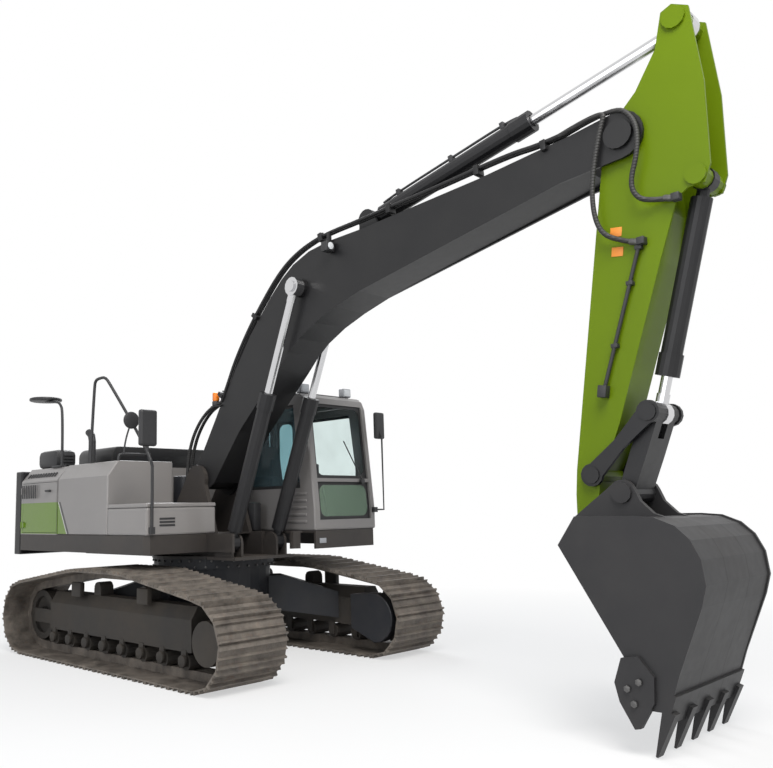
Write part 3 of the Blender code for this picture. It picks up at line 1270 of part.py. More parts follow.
def bucket():
    """The bucket, from the arm's pin: shell, sides, ears, lip, teeth and side cutters."""
    pieces = []
    for side in (-1, 1):
        outer = side * BUCKET_HALF
        a, b = sorted((outer, outer - side * BUCKET_SIDE_PLATE))
        pieces.append(plate(bucket_side_loop(), a, b))
        a, b = sorted((outer - side * BUCKET_SIDE_PLATE / 2, outer + side * SIDE_CUTTER_PLATE))
        pieces.append(plate(SIDE_CUTTER, a, b))
    inner = BUCKET_HALF - BUCKET_SIDE_PLATE / 2
    pieces.append(plate(strip(BUCKET_SHELL_PATH[::-1], BUCKET_SHELL), -inner, inner))
    end = BUCKET_SHELL_PATH[-1]
    before = BUCKET_SHELL_PATH[-2]
    along = Vector((end[0] - before[0], end[1] - before[1])).normalized()
    left = Vector((-along.y, along.x))
    lip_end = Vector(end) + along * LIP_LENGTH
    lip = [tuple(Vector(end) - along * LIP_LENGTH - left * LIP_PLATE / 2), tuple(lip_end - left * LIP_PLATE / 4),
           tuple(lip_end + left * LIP_PLATE / 4), tuple(Vector(end) - along * LIP_LENGTH + left * LIP_PLATE / 2)]
    pieces.append(plate(lip, -BUCKET_HALF, BUCKET_HALF))
    tip = lip_end + along * TOOTH_LENGTH
    root = lip_end - along * TOOTH_ROOT
    tooth = [tuple(root - left * TOOTH_WIDTH / 2), tuple(tip - left * TOOTH_WIDTH / 12),
             tuple(tip + left * TOOTH_WIDTH / 12), tuple(root + left * TOOTH_WIDTH / 2)]
    for i in range(TOOTH_COUNT):
        y = -BUCKET_HALF + TOOTH_WIDTH / 2 + (2 * BUCKET_HALF - TOOTH_WIDTH) * i / (TOOTH_COUNT - 1)
        pieces.append(plate(tooth, y - TOOTH_WIDTH / 2, y + TOOTH_WIDTH / 2))
    link = in_plane(BOOM_TIP, ARM_ANGLE, LINK_FOOT)
    foot = (link[0] - BUCKET_PIN[0], link[1] - BUCKET_PIN[1])
    ear = (
        arc((0, 0), 0.12, 250, 140, 6)
        + arc(foot, 0.095, 140, 20, 6)
        + [(foot[0] + 0.13, foot[1] - 0.06), (0.50, 0.090), (0.66, 0.036), (0.50, 0.03), (0.30, -0.02),
           (0.12, -0.20)]
    )
    for side in (-1, 1):
        a, b = sorted((side * BUCKET_EAR_INNER, side * (BUCKET_EAR_INNER + BUCKET_EAR_PLATE)))
        pieces.append(plate(ear, a, b))
        for point, face in (((0, 0), ARM_HALF), (foot, LINK_HALF)):
            a, b = sorted((side * (face + SEAT_GAP), side * (BUCKET_EAR_INNER + BUCKET_EAR_PLATE + 0.02)))
            pieces.append(cross_bar(point, a, b, 0.075, 12))
    return union(pieces[0], *pieces[1:])


def link():
    """The H-shaped link, in the frame of its foot pin on the bucket."""
    top = in_plane((0, 0), ARM_ANGLE, (LEVER_TOP[0] - LINK_FOOT[0], LEVER_TOP[1] - LINK_FOOT[1]))
    outline = dog_bone((0, 0), top, LINK_RADIUS, LINK_RADIUS, LINK_RADIUS * 0.8)
    body = plate(outline, -LINK_HALF, LINK_HALF)
    reach = LINK_RADIUS + BUCKET_EYE_RADIUS
    slot = bar((top[0], -BUCKET_EYE_HALF - SEAT_GAP, top[1]),
               (top[0], BUCKET_EYE_HALF + SEAT_GAP, top[1]), reach * 1.15, sides=16)
    return cut(body, slot)


def cylinder_bodies():
    """Every cylinder: name, parent, base and eye in the machine's frame, side offset and sizes."""
    boom_eye = in_plane(BOOM_FOOT, BOOM_ANGLE, BOOM_CYLINDER_EYE)
    arm_base = in_plane(BOOM_FOOT, BOOM_ANGLE, ARM_CYLINDER_BASE)
    arm_eye = in_plane(BOOM_TIP, ARM_ANGLE, ARM_EYE)
    bucket_base = in_plane(BOOM_TIP, ARM_ANGLE, BUCKET_CYLINDER_BASE)
    bucket_eye = in_plane(BOOM_TIP, ARM_ANGLE, LEVER_TOP)
    boom_sizes = (BOOM_BARREL_RADIUS, BOOM_ROD_RADIUS, BOOM_BARREL_LENGTH, BOOM_EYE_RADIUS, BOOM_EYE_HALF)
    return (
        ("boom_cylinder_right", "upper", BOOM_CYLINDER_BASE, boom_eye, -BOOM_CYLINDER_HALF_SPAN, boom_sizes),
        ("boom_cylinder_left", "upper", BOOM_CYLINDER_BASE, boom_eye, BOOM_CYLINDER_HALF_SPAN, boom_sizes),
        ("arm_cylinder", "boom", arm_base, arm_eye, 0,
         (ARM_BARREL_RADIUS, ARM_ROD_RADIUS, ARM_BARREL_LENGTH, ARM_EYE_RADIUS, ARM_EYE_HALF)),
        ("bucket_cylinder", "arm", bucket_base, bucket_eye, 0,
         (BUCKET_BARREL_RADIUS, BUCKET_ROD_RADIUS, BUCKET_BARREL_LENGTH, BUCKET_EYE_RADIUS, BUCKET_EYE_HALF)),
    )


def add_cylinder(name, parent, base, eye, side_offset, sizes):
    radius, rod_radius, length, eye_radius, eye_half = sizes
    angle = heading(base, eye)
    origin = (base[0], BOOM_Y + side_offset, base[1])
    add_body(name, parent, origin, angle)
    add_body(name + "_rod", name, origin, angle)
    reach = distance(base, eye)
    insertion = length * 0.12
    start = min(length - insertion, reach - insertion)
    stroke = length - eye_radius * 2.5
    node(name + "_barrel", "charcoal", name,
         bored_barrel(radius, length, eye_radius, eye_half, rod_radius, stroke))
    collar = 0.02 if side_offset else 0.0
    node(name + "_rod", "chrome", name + "_rod",
         rod(start, reach, rod_radius, eye_radius, eye_half, collar, 1 if side_offset > 0 else -1))


# Small pieces on the deck and roof


def add_trim():
    """Handrail, mirrors, exhaust, beacon and lamps."""
    tank_top = HOUSE_TOP_Z + 0.01 + SEAT_GAP
    rail = ((-0.56, -1.19, tank_top), (-0.56, -1.19, tank_top + 0.04), (-0.43, -1.21, 3.07), (-0.38, -1.22, 3.115), (-0.17, -1.20, 3.13),
            (-0.14, -1.17, 3.10), (-0.18, -0.93, tank_top + 0.04), (-0.18, -0.93, tank_top))
    node("handrail", "black", "upper", tube(rail, 0.017))
    post = ((0.667, -1.31, 1.41), (0.667, -1.31, 2.09), (0.667, -1.33, 2.16), (0.640, -1.35, 2.24),
            (0.640, -1.36, 2.40))
    glass = softened(box((0.615, -1.46, 2.30), (0.675, -1.25, 2.68)), 0.025, 2)
    foot = box((RIGHT_FRONT_X + SEAT_GAP, -1.335, 1.40), (0.690, -1.285, 1.47))
    node("right_mirror", "black", "upper", union(tube(post, 0.016), glass, foot))
    arm_points = ((1.372, 1.33, 1.60), (1.44, 1.42, 1.60), (1.44, 1.42, 2.45), (1.40, 1.40, 2.62))
    glass = softened(box((1.375, 1.34, 2.44), (1.425, 1.50, 2.76)), 0.02, 2)
    foot = box((CAB_FRONT_X + SEAT_GAP, 1.30, 1.57), (1.40, 1.355, 1.63))
    node("cab_mirror", "black", "upper", union(tube(arm_points, 0.011), glass, foot))
    stack = ((-1.19, -0.95, tank_top), (-1.19, -0.95, 2.50), (-1.21, -0.95, 2.57), (-1.28, -0.95, 2.62))
    node("exhaust", "black", "upper", tube(stack, 0.045, 12))
    node("engine", "charcoal", "upper", box(ENGINE_LOW, ENGINE_HIGH))


def main():
    make_finishes()
    add_body("undercarriage", None, (0, 0, 0))
    for name, side in (("right", -1), ("left", 1)):
        node("track_frame_" + name, "skirt_brown", "undercarriage", track_frame(side))
        node("track_" + name, "track_steel", "undercarriage", track(side))
        node("sprocket_" + name, "skirt_brown", "undercarriage", sprocket(side))
        node("idler_" + name, "skirt_brown", "undercarriage", idler(side))
        node("motor_guard_" + name, "frame_blue_black", "undercarriage", motor_guard(side))
    node("car_body", "frame_blue_black", "undercarriage", car_body())
    node("swing_ring", "frame_blue_black", "undercarriage", swing_ring())

    add_body("upper", "undercarriage", (0, 0, 0))
    node("revolving_frame", "skirt_brown", "upper", revolving_frame())
    node("counterweight", "charcoal", "upper", counterweight())
    node("engine_house", "warm_grey", "upper", engine_house())
    node("tank_box", "warm_grey", "upper", tank_box())
    node("toolbox", "warm_grey", "upper", toolbox())
    node("cab_shell", "warm_grey", "upper", cab_shell())
    node("seat", "seat_cloth", "upper", seat())

    add_body("right_door", "upper", (*RIGHT_HINGE, 0))
    node("right_door", "warm_grey", "right_door", side_door(RIGHT_DOOR, RIGHT_HINGE, -1))
    add_body("left_door", "upper", (*LEFT_HINGE, 0))
    node("left_door", "warm_grey", "left_door", side_door(LEFT_DOOR, LEFT_HINGE, 1))
    add_body("toolbox_lid", "upper", (LID_HINGE[0], 0, LID_HINGE[1]))
    node("toolbox_lid", "warm_grey", "toolbox_lid", toolbox_lid())
    add_body("hood", "upper", (HOOD_HINGE[0], 0, HOOD_HINGE[1]))
    node("hood", "charcoal", "hood", hood())
    add_body("cab_door", "upper", (*CAB_HINGE, 0))
    node("cab_door", "warm_grey", "cab_door", cab_door())
    panes()
    add_trim()

    add_body("boom", "upper", (BOOM_FOOT[0], BOOM_Y, BOOM_FOOT[1]), BOOM_ANGLE)
    node("boom", "charcoal", "boom", boom())
    add_body("arm", "boom", (BOOM_TIP[0], BOOM_Y, BOOM_TIP[1]), ARM_ANGLE)
    node("arm", "lime", "arm", arm())
    for cylinder in cylinder_bodies():
        add_cylinder(*cylinder)
    lever_pin = in_plane(BOOM_TIP, ARM_ANGLE, LEVER_PIN)
    add_body("levers", "arm", (lever_pin[0], BOOM_Y, lever_pin[1]), ARM_ANGLE)
    right, left, top, reach, inner = levers()
    node("lever_right", "charcoal", "levers", right)
    node("lever_left", "charcoal", "levers", left)
    add_body("bucket", "arm", (BUCKET_PIN[0], BOOM_Y, BUCKET_PIN[1]))
    node("bucket", "charcoal", "bucket", bucket())
    foot = in_plane(BOOM_TIP, ARM_ANGLE, LINK_FOOT)
    add_body("link", "bucket", (foot[0], BOOM_Y, foot[1]))
    node("link", "charcoal", "link", link())


clear_scene()
MODEL = bpy.data.collections.new("crawler_excavator")
bpy.context.scene.collection.children.link(MODEL)
main()
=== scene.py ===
"""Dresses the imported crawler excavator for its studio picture."""

from math import cos, radians, sin, tau

import bpy
from mathutils import Matrix, Vector


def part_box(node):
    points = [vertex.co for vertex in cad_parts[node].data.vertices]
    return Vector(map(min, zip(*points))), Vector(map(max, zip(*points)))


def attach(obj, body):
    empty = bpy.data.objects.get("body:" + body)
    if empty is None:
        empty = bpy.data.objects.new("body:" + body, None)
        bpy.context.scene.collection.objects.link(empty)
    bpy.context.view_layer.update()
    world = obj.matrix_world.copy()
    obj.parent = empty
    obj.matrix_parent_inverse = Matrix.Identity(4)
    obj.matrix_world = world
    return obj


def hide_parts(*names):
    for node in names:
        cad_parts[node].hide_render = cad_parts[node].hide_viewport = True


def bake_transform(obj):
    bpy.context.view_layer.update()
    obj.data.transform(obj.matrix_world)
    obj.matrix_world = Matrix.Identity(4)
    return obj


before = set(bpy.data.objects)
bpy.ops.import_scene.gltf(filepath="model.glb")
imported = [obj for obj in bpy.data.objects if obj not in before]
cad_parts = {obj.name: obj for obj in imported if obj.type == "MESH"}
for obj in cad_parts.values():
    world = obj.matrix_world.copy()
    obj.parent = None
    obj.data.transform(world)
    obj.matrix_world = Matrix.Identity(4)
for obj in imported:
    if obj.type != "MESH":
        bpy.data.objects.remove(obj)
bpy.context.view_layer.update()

# Camera: a compact camera's lens at a standing height, off the machine's right front corner.
# Its place and turn come from the track, cab and boom pins, which fix the photograph's view.
SWING_X = -1.596
bpy.ops.object.camera_add(location=(6.421, -6.173, 1.612), rotation=(radians(97.87), 0, radians(45.4)))
camera = bpy.context.object
camera.rotation_mode = "QUATERNION"
roll = Matrix.Rotation(radians(-1.18), 4, "Z").to_quaternion()
camera.rotation_quaternion = camera.rotation_quaternion @ roll
camera.data.lens = 38.89
camera.data.sensor_width = 36
camera.data.shift_x = 0.0923
camera.data.shift_y = 0.0133
camera.data.clip_end = 200
bpy.context.scene.camera = camera

# The machine's own frame: the ground under the swing's axis, and the boom's and arm's pins at rest.
BOOM_PIN, BOOM_TILT = (0.236, -0.166, 1.975), radians(24.45)
ARM_PIN, ARM_TILT = (5.425, -0.166, 4.334), radians(-98.84)

# Studio: a white floor that fades into a white surround, with one broad lamp from above and
# two soft fills, so that dark paint shows its edges and nothing burns out.
bpy.context.scene.view_settings.view_transform = "Standard"


class Field:
    """A socket of the material that is being built, with arithmetic that adds its Math nodes."""

    def __init__(self, tree, socket):
        self.tree, self.socket = tree, socket

    def _math(self, operation, *values):
        return node(self.tree, "ShaderNodeMath", {"operation": operation}, dict(enumerate(values)))

    def __add__(self, other):
        return self._math("ADD", self, other)

    def __sub__(self, other):
        return self._math("SUBTRACT", self, other)

    def __mul__(self, other):
        return self._math("MULTIPLY", self, other)

    __radd__ = __add__

    def __abs__(self):
        return self._math("ABSOLUTE", self)

    def __lt__(self, other):
        return self._math("LESS_THAN", self, other)

    def __gt__(self, other):
        return self._math("GREATER_THAN", self, other)

    def __pow__(self, other):
        return self._math("POWER", self, other)


def node(tree, kind, settings=None, values=None, output=0):
    """Adds a node: its settings first, then its sockets by name or number."""
    made = tree.nodes.new(kind)
    for name, value in (settings or {}).items():
        setattr(made, name, value)
    for name, value in (values or {}).items():
        if isinstance(value, Field):
            tree.links.new(value.socket, made.inputs[name])
        else:
            made.inputs[name].default_value = value
    return Field(tree, made.outputs[output])


def material(name):
    made = bpy.data.materials.new(name)
    made.use_nodes = True
    return made, made.node_tree, made.node_tree.nodes["Principled BSDF"]


def mixed(tree, factor, first, second):
    """A colour between two colours or fields."""
    values = {0: factor, 6: first, 7: second}
    return node(tree, "ShaderNodeMix", {"data_type": "RGBA"}, values, output=2)


def noise(tree, scale, detail=3.0, roughness=0.5):
    values = {"Scale": scale, "Detail": detail, "Roughness": roughness}
    return node(tree, "ShaderNodeTexNoise", {},
                {"Vector": node(tree, "ShaderNodeTexCoord", output=3), **values})


def bands(tree, direction, scale):
    """Even waves across the piece."""
    return node(tree, "ShaderNodeTexWave", {"wave_type": "BANDS", "bands_direction": direction},
                {"Vector": node(tree, "ShaderNodeTexCoord", output=3), "Scale": scale})


def bumps(tree, strength, distance, height):
    return node(tree, "ShaderNodeBump", {}, {"Strength": strength, "Distance": distance, "Height": height})


def axes(tree):
    """The object coordinates of the place that is being shaded."""
    place = node(tree, "ShaderNodeTexCoord", output=3)
    return [node(tree, "ShaderNodeSeparateXYZ", {}, {0: place}, output=number) for number in range(3)]


def ramp(tree, value, low, high):
    """0 below low, 1 above high."""
    return node(tree, "ShaderNodeMapRange", {"clamp": True},
                {"Value": value, 1: low, 2: high, 3: 0.0, 4: 1.0})


def feed(tree, shader, **sockets):
    for name, value in sockets.items():
        target = shader.inputs[name.replace("_", " ")]
        if isinstance(value, Field):
            tree.links.new(value.socket, target)
        else:
            target.default_value = value


bpy.ops.mesh.primitive_plane_add(size=120)
floor = bpy.context.object
floor.name = "floor"
floor_paint, tree, shader = material("floor_white")
feed(tree, shader, Base_Color=(0.80, 0.80, 0.80, 1), Roughness=0.85)
path = tree.nodes.new("ShaderNodeLightPath")
looked_at = Field(tree, path.outputs["Is Camera Ray"]) + Field(tree, path.outputs["Is Glossy Ray"])
looked_at = looked_at + Field(tree, path.outputs["Is Transmission Ray"])
reach = node(tree, "ShaderNodeVectorMath", {"operation": "LENGTH"},
             {0: node(tree, "ShaderNodeNewGeometry", output=0)}, output=1)
glow = tree.nodes.new("ShaderNodeEmission")
veil = tree.nodes.new("ShaderNodeMixShader")
away = ramp(tree, reach, 3.5, 9.0) * 0.45 + 0.55
tree.links.new((looked_at * away).socket, veil.inputs[0])
tree.links.new(shader.outputs[0], veil.inputs[1])
tree.links.new(glow.outputs[0], veil.inputs[2])
tree.links.new(veil.outputs[0], tree.nodes["Material Output"].inputs[0])
floor.data.materials.append(floor_paint)

world = bpy.data.worlds.new("studio")
bpy.context.scene.world = world
world.use_nodes = True
tree = world.node_tree
background = tree.nodes["Background"]
path = tree.nodes.new("ShaderNodeLightPath")
seen = Field(tree, path.outputs["Is Camera Ray"]) + Field(tree, path.outputs["Is Glossy Ray"])
seen = node(tree, "ShaderNodeMath", {"operation": "MINIMUM"},
            {0: seen + Field(tree, path.outputs["Is Transmission Ray"]), 1: 1.0})
tree.links.new(mixed(tree, seen, (0.62, 0.66, 0.72, 1), (1, 1, 1, 1)).socket, background.inputs["Color"])
tree.links.new((seen * 0.45 + 0.55).socket, background.inputs["Strength"])

for name, place, target, size, power, colour in (
    ("key", (7.5, -4.5, 11.0), (0.5, 0, 1.5), 6.0, 1500, (1.0, 0.98, 0.95)),
    ("fill", (2.0, -13.0, 5.0), (0.0, 0, 1.5), 8.0, 420, (0.95, 0.97, 1.0)),
    ("rim", (-9.0, 6.0, 9.0), (0, 0, 2.0), 6.0, 600, (0.95, 0.97, 1.0)),
):
    lamp = bpy.data.lights.new(name, "AREA")
    lamp.size, lamp.energy, lamp.color = size, power, colour
    stand = bpy.data.objects.new(name, lamp)
    bpy.context.scene.collection.objects.link(stand)
    stand.location = place
    stand.rotation_euler = (Vector(target) - Vector(place)).to_track_quat("-Z", "Y").to_euler()

# Paints: two-pack enamel sprayed over cast and welded steel. Charcoal on the boom, lime on
# the arm, warm grey on the sheet housings, with yard dust settled on what faces up.


def dusty(tree, base, dust, amount, scale=2.5):
    """A paint's colour with dust in the hollows of a slow noise and on faces that look up."""
    normal = node(tree, "ShaderNodeNewGeometry", output=1)
    up = node(tree, "ShaderNodeSeparateXYZ", {}, {0: normal}, output=2)
    cover = ramp(tree, up, 0.2, 0.9) * 0.5 + 0.35
    cover = cover * ramp(tree, noise(tree, scale, 6.0, 0.6), 0.35, 0.75) * amount
    return mixed(tree, cover, base, dust), cover


def enamel(name, colour, roughness, dust, amount, coat=0.0, gloss=0.5, marks=None):
    """Sprayed enamel with a slow drift of shade, a fine orange peel, dust, and marks where given."""
    made, tree, shader = material(name)
    shade = noise(tree, 1.1, 2.0)
    deep = tuple(c * 0.86 for c in colour[:3]) + (1,)
    base = mixed(tree, shade, deep, tuple(min(1, c * 1.10) for c in colour[:3]) + (1,))
    if marks:
        base = marks(tree, base)
    base, cover = dusty(tree, base, dust, amount)
    rough = cover * 0.45 + roughness + noise(tree, 14.0, 4.0) * 0.10
    peel = bumps(tree, 0.02, 0.004, noise(tree, 160.0, 2.0))
    feed(tree, shader, Base_Color=base, Roughness=rough, Normal=peel)
    shader.inputs["Coat Weight"].default_value = coat
    shader.inputs["Coat Roughness"].default_value = 0.12
    shader.inputs["Specular IOR Level"].default_value = gloss
    return made


def wear_seams(tree, base):
    """The gaps between the wear plates on the bucket's back, as dark lines along the shell."""
    x, y, z = axes(tree)
    for seam in (-0.366, 0.034):
        base = mixed(tree, abs(y - seam) < 0.006, base, (0.003, 0.003, 0.003, 1))
    return base


def panel_marks(tree, base):
    """The lime panel on the housings' sides with its white and black stripes, and the sheets' seams."""
    x, y, z = axes(tree)
    outside = abs(y) > 1.30
    lean, white_end, black_end = 0.576, 0.018, 0.062
    ahead = x - z * -lean - (-1.236 + SWING_X + 1.754 * lean)
    inside = outside * (z > 1.392) * (z < 1.764) * (x > -2.285 + SWING_X)
    base = mixed(tree, inside * (ahead < 0.0), base, (0.105, 0.200, 0.001, 1))
    base = mixed(tree, inside * (ahead > 0.0) * (ahead < white_end), base, (0.55, 0.55, 0.52, 1))
    base = mixed(tree, inside * (ahead > white_end) * (ahead < black_end), base, (0.012, 0.012, 0.013, 1))
    for seam in (-1.263, -0.111):
        base = mixed(tree, outside * (abs(x - (seam + SWING_X)) < 0.0045), base, (0.02, 0.02, 0.02, 1))
    return base


charcoal = enamel("charcoal_enamel", (0.010, 0.010, 0.0115), 0.38, (0.10, 0.095, 0.085, 1), 0.16, gloss=0.35)
boom_black = enamel("boom_enamel", (0.008, 0.008, 0.009), 0.34, (0.09, 0.085, 0.075, 1), 0.14, gloss=0.38)
lime = enamel("lime_enamel", (0.112, 0.178, 0.0010), 0.34, (0.20, 0.24, 0.03, 1), 0.10, gloss=0.18)
warm_grey = enamel("warm_grey_enamel", (0.235, 0.222, 0.215), 0.30, (0.30, 0.27, 0.23, 1), 0.22, coat=0.25,
                   marks=panel_marks)
cab_grey = enamel("cab_enamel", (0.20, 0.19, 0.185), 0.30, (0.30, 0.27, 0.23, 1), 0.18, coat=0.25)
skirt_brown = enamel("skirt_enamel", (0.034, 0.030, 0.028), 0.42, (0.16, 0.13, 0.10, 1), 0.35, gloss=0.35)
frame_black = enamel("frame_enamel", (0.014, 0.016, 0.021), 0.40, (0.14, 0.12, 0.10, 1), 0.35, gloss=0.35)
undercarriage_dirt = enamel("undercarriage_enamel", (0.034, 0.031, 0.028), 0.55, (0.13, 0.105, 0.08, 1), 0.75,
                            gloss=0.3)
bucket_paint = enamel("bucket_enamel", (0.020, 0.0195, 0.021), 0.44, (0.075, 0.07, 0.065, 1), 0.45, gloss=0.35,
                      marks=wear_seams)

track_steel, tree, shader = material("track_steel")
grime = ramp(tree, noise(tree, 6.0, 8.0, 0.65), 0.35, 0.70)
base = mixed(tree, grime, (0.085, 0.074, 0.064, 1), (0.23, 0.20, 0.17, 1))
rust = ramp(tree, noise(tree, 22.0, 6.0, 0.7), 0.55, 0.75)
base = mixed(tree, rust * 0.5, base, (0.16, 0.085, 0.045, 1))
bump = bumps(tree, 0.35, 0.006, noise(tree, 60.0, 6.0))
feed(tree, shader, Base_Color=base, Roughness=grime * 0.25 + 0.50, Metallic=0.35, Normal=bump)

matt_black, tree, shader = material("matt_black_plastic")
grain = noise(tree, 220.0, 3.0)
base = mixed(tree, noise(tree, 3.0), (0.012, 0.012, 0.013, 1), (0.028, 0.028, 0.030, 1))
bump = bumps(tree, 0.12, 0.001, grain)
feed(tree, shader, Base_Color=base, Roughness=grain * 0.15 + 0.42, Normal=bump)

chrome, tree, shader = material("hard_chrome")
streak = noise(tree, 9.0, 4.0)
feed(tree, shader, Base_Color=(0.62, 0.62, 0.63, 1), Roughness=streak * 0.12 + 0.10, Metallic=1.0)


def pane(name, low, high, across, tint, film=0.03, rim=0.035, corner=0.09):
    """Tinted safety glass in a black rubber frame: across is the axis that its width lies on."""
    made, tree, shader = material(name)
    tinted_shade = tuple(part * 0.55 for part in tint[:3]) + (1,)
    shade = tinted_shade if film > 0.03 else (0.02, 0.03, 0.03, 1)
    feed(tree, shader, Base_Color=shade, Roughness=0.03)
    shader.inputs["Specular IOR Level"].default_value = 0.8
    clear = node(tree, "ShaderNodeBsdfTransparent", {}, {0: tint})
    bend = node(tree, "ShaderNodeLayerWeight", {}, {"Blend": 0.5}, output=1) ** 4.0
    see = tree.nodes.new("ShaderNodeMixShader")
    streak = ramp(tree, noise(tree, 2.2, 3.0), 0.45, 0.8) * 0.05
    tree.links.new((bend * 0.7 + film + streak).socket, see.inputs[0])
    tree.links.new(clear.socket, see.inputs[1])
    tree.links.new(shader.outputs[0], see.inputs[2])
    rubber = tree.nodes.new("ShaderNodeBsdfPrincipled")
    rubber.inputs["Base Color"].default_value = (0.010, 0.010, 0.011, 1)
    rubber.inputs["Roughness"].default_value = 0.55
    places = axes(tree)
    reach = 0.0
    for axis in (across, 2):
        middle, half = (low[axis] + high[axis]) / 2, (high[axis] - low[axis]) / 2
        off = abs(places[axis] - middle) - (half - rim - corner)
        reach = reach + node(tree, "ShaderNodeMath", {"operation": "MAXIMUM"}, {0: off, 1: 0.0}) ** 2.0
    frame_mix = tree.nodes.new("ShaderNodeMixShader")
    tree.links.new((reach > corner ** 2).socket, frame_mix.inputs[0])
    tree.links.new(see.outputs[0], frame_mix.inputs[1])
    tree.links.new(rubber.outputs[0], frame_mix.inputs[2])
    tree.links.new(frame_mix.outputs[0], tree.nodes["Material Output"].inputs[0])
    return made


glass = {}
for name, across, tint, film in (
    ("windscreen_upper", 1, (0.95, 0.98, 0.98, 1), 0.03),
    ("windscreen_lower", 1, (0.62, 0.80, 0.64, 1), 0.28),
    ("right_window", 0, (0.56, 0.72, 0.76, 1), 0.12),
    ("quarter_window", 0, (0.85, 0.92, 0.91, 1), 0.03),
    ("rear_window", 1, (0.96, 0.98, 0.98, 1), 0.03),
    ("door_window", 0, (0.93, 0.97, 0.96, 1), 0.03),
):
    glass[name] = pane(name, *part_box(name), across, tint, film)

hose_rubber, tree, shader = material("hose_rubber")
bump = bumps(tree, 0.5, 0.004, bands(tree, "Z", 14.0))
base = mixed(tree, noise(tree, 8.0), (0.010, 0.010, 0.010, 1), (0.026, 0.025, 0.024, 1))
feed(tree, shader, Base_Color=base, Roughness=0.62, Normal=bump)

bolt_steel, tree, shader = material("bolt_steel")
wear = noise(tree, 30.0, 4.0)
feed(tree, shader, Base_Color=mixed(tree, wear, (0.05, 0.05, 0.052, 1), (0.16, 0.155, 0.15, 1)),
     Roughness=wear * 0.2 + 0.35, Metallic=0.6)

lamp_silver, tree, shader = material("lamp_silver")
cast = noise(tree, 40.0, 3.0)
feed(tree, shader, Base_Color=mixed(tree, cast, (0.30, 0.31, 0.33, 1), (0.40, 0.41, 0.43, 1)),
     Roughness=cast * 0.2 + 0.30, Metallic=0.4)

lamp_lens, tree, shader = material("lamp_lens")
bump = bumps(tree, 0.2, 0.001, bands(tree, "Y", 40.0))
feed(tree, shader, Base_Color=(0.62, 0.64, 0.66, 1), Roughness=0.08, Normal=bump)

beacon_orange, tree, shader = material("beacon_orange")
depth = noise(tree, 25.0, 2.0)
feed(tree, shader, Base_Color=mixed(tree, depth, (0.75, 0.14, 0.006, 1), (0.95, 0.30, 0.02, 1)), Roughness=0.18)

label_orange, tree, shader = material("label_orange")
fade = noise(tree, 20.0, 3.0)
feed(tree, shader, Base_Color=mixed(tree, fade, (0.70, 0.20, 0.02, 1), (0.80, 0.30, 0.04, 1)),
     Roughness=fade * 0.2 + 0.35)

seat_cloth, tree, shader = material("seat_cloth")
weave = bands(tree, "DIAGONAL", 120.0)
feed(tree, shader, Base_Color=mixed(tree, weave, (0.02, 0.021, 0.024, 1), (0.045, 0.047, 0.052, 1)),
     Roughness=0.9)

FINISHES = {
    "boom": boom_black, "arm": lime, "bucket": bucket_paint, "lever_right": charcoal, "lever_left": charcoal,
    "link": charcoal, "counterweight": charcoal, "engine": frame_black, "revolving_frame": skirt_brown,
    "car_body": frame_black, "swing_ring": frame_black, "motor_guard_right": frame_black,
    "motor_guard_left": frame_black, "track_frame_right": undercarriage_dirt,
    "track_frame_left": undercarriage_dirt, "sprocket_right": undercarriage_dirt,
    "sprocket_left": undercarriage_dirt, "idler_right": undercarriage_dirt, "idler_left": undercarriage_dirt,
    "track_right": track_steel, "track_left": track_steel, "engine_house": warm_grey, "tank_box": warm_grey,
    "toolbox": warm_grey, "toolbox_lid": warm_grey, "right_door": warm_grey, "left_door": warm_grey,
    "hood": boom_black, "cab_shell": cab_grey, "cab_door": cab_grey, "seat": seat_cloth,
    "handrail": matt_black, "right_mirror": matt_black, "cab_mirror": matt_black, "exhaust": matt_black,
    **glass,
}
for name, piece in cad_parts.items():
    finish = FINISHES.get(name)
    if finish is None:
        finish = chrome if name.endswith("_rod") else charcoal
    piece.data.materials.clear()
    piece.data.materials.append(finish)
    piece.data.polygons.foreach_set("use_smooth", [True] * len(piece.data.polygons))
    piece.data.set_sharp_from_angle(angle=radians(28))


def spot(x, y, z):
    """A place given from the swing's axis on the ground."""
    return Vector((x + SWING_X, y, z))


def tilted(pin, turn, x, z, y):
    """A place in the boom's or the arm's own frame, along, over and left of its pin."""
    return spot(pin[0] + x * cos(turn) - z * sin(turn), pin[1] + y, pin[2] + x * sin(turn) + z * cos(turn))


def on_boom(x, z, y=0.0):
    return tilted(BOOM_PIN, BOOM_TILT, x, z, y)


def on_arm(x, z, y=0.0):
    return tilted(ARM_PIN, ARM_TILT, x, z, y)


def finished(piece, name, finish, body):
    """Names a modelled piece, gives it its finish and lets it ride on its body, where it has one."""
    piece.name = piece.data.name = name
    piece.data.materials.clear()
    piece.data.materials.append(finish)
    if body:
        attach(piece, body)
    return piece


def round_edges(width, segments=2, angle=40):
    """Bevels the sharp edges of the active piece, as its maker breaks them."""
    bpy.ops.object.transform_apply(location=True, rotation=True, scale=True)
    bpy.ops.object.mode_set(mode="EDIT")
    bpy.ops.mesh.select_mode(type="EDGE")
    bpy.ops.mesh.select_all(action="DESELECT")
    bpy.ops.mesh.edges_select_sharp(sharpness=radians(angle))
    bpy.ops.mesh.bevel(offset=width, segments=segments, affect="EDGES")
    bpy.ops.object.mode_set(mode="OBJECT")
    bpy.ops.object.shade_smooth_by_angle(angle=radians(35))


def block(name, low, high, finish, body, edge=0.006, turn=(0, 0, 0)):
    """A block added between two corners, then turned about its middle and its edges broken."""
    low, high = Vector(low), Vector(high)
    bpy.ops.mesh.primitive_cube_add(size=1, location=(low + high) / 2, rotation=turn, scale=high - low)
    round_edges(edge)
    return finished(bpy.context.object, name, finish, body)


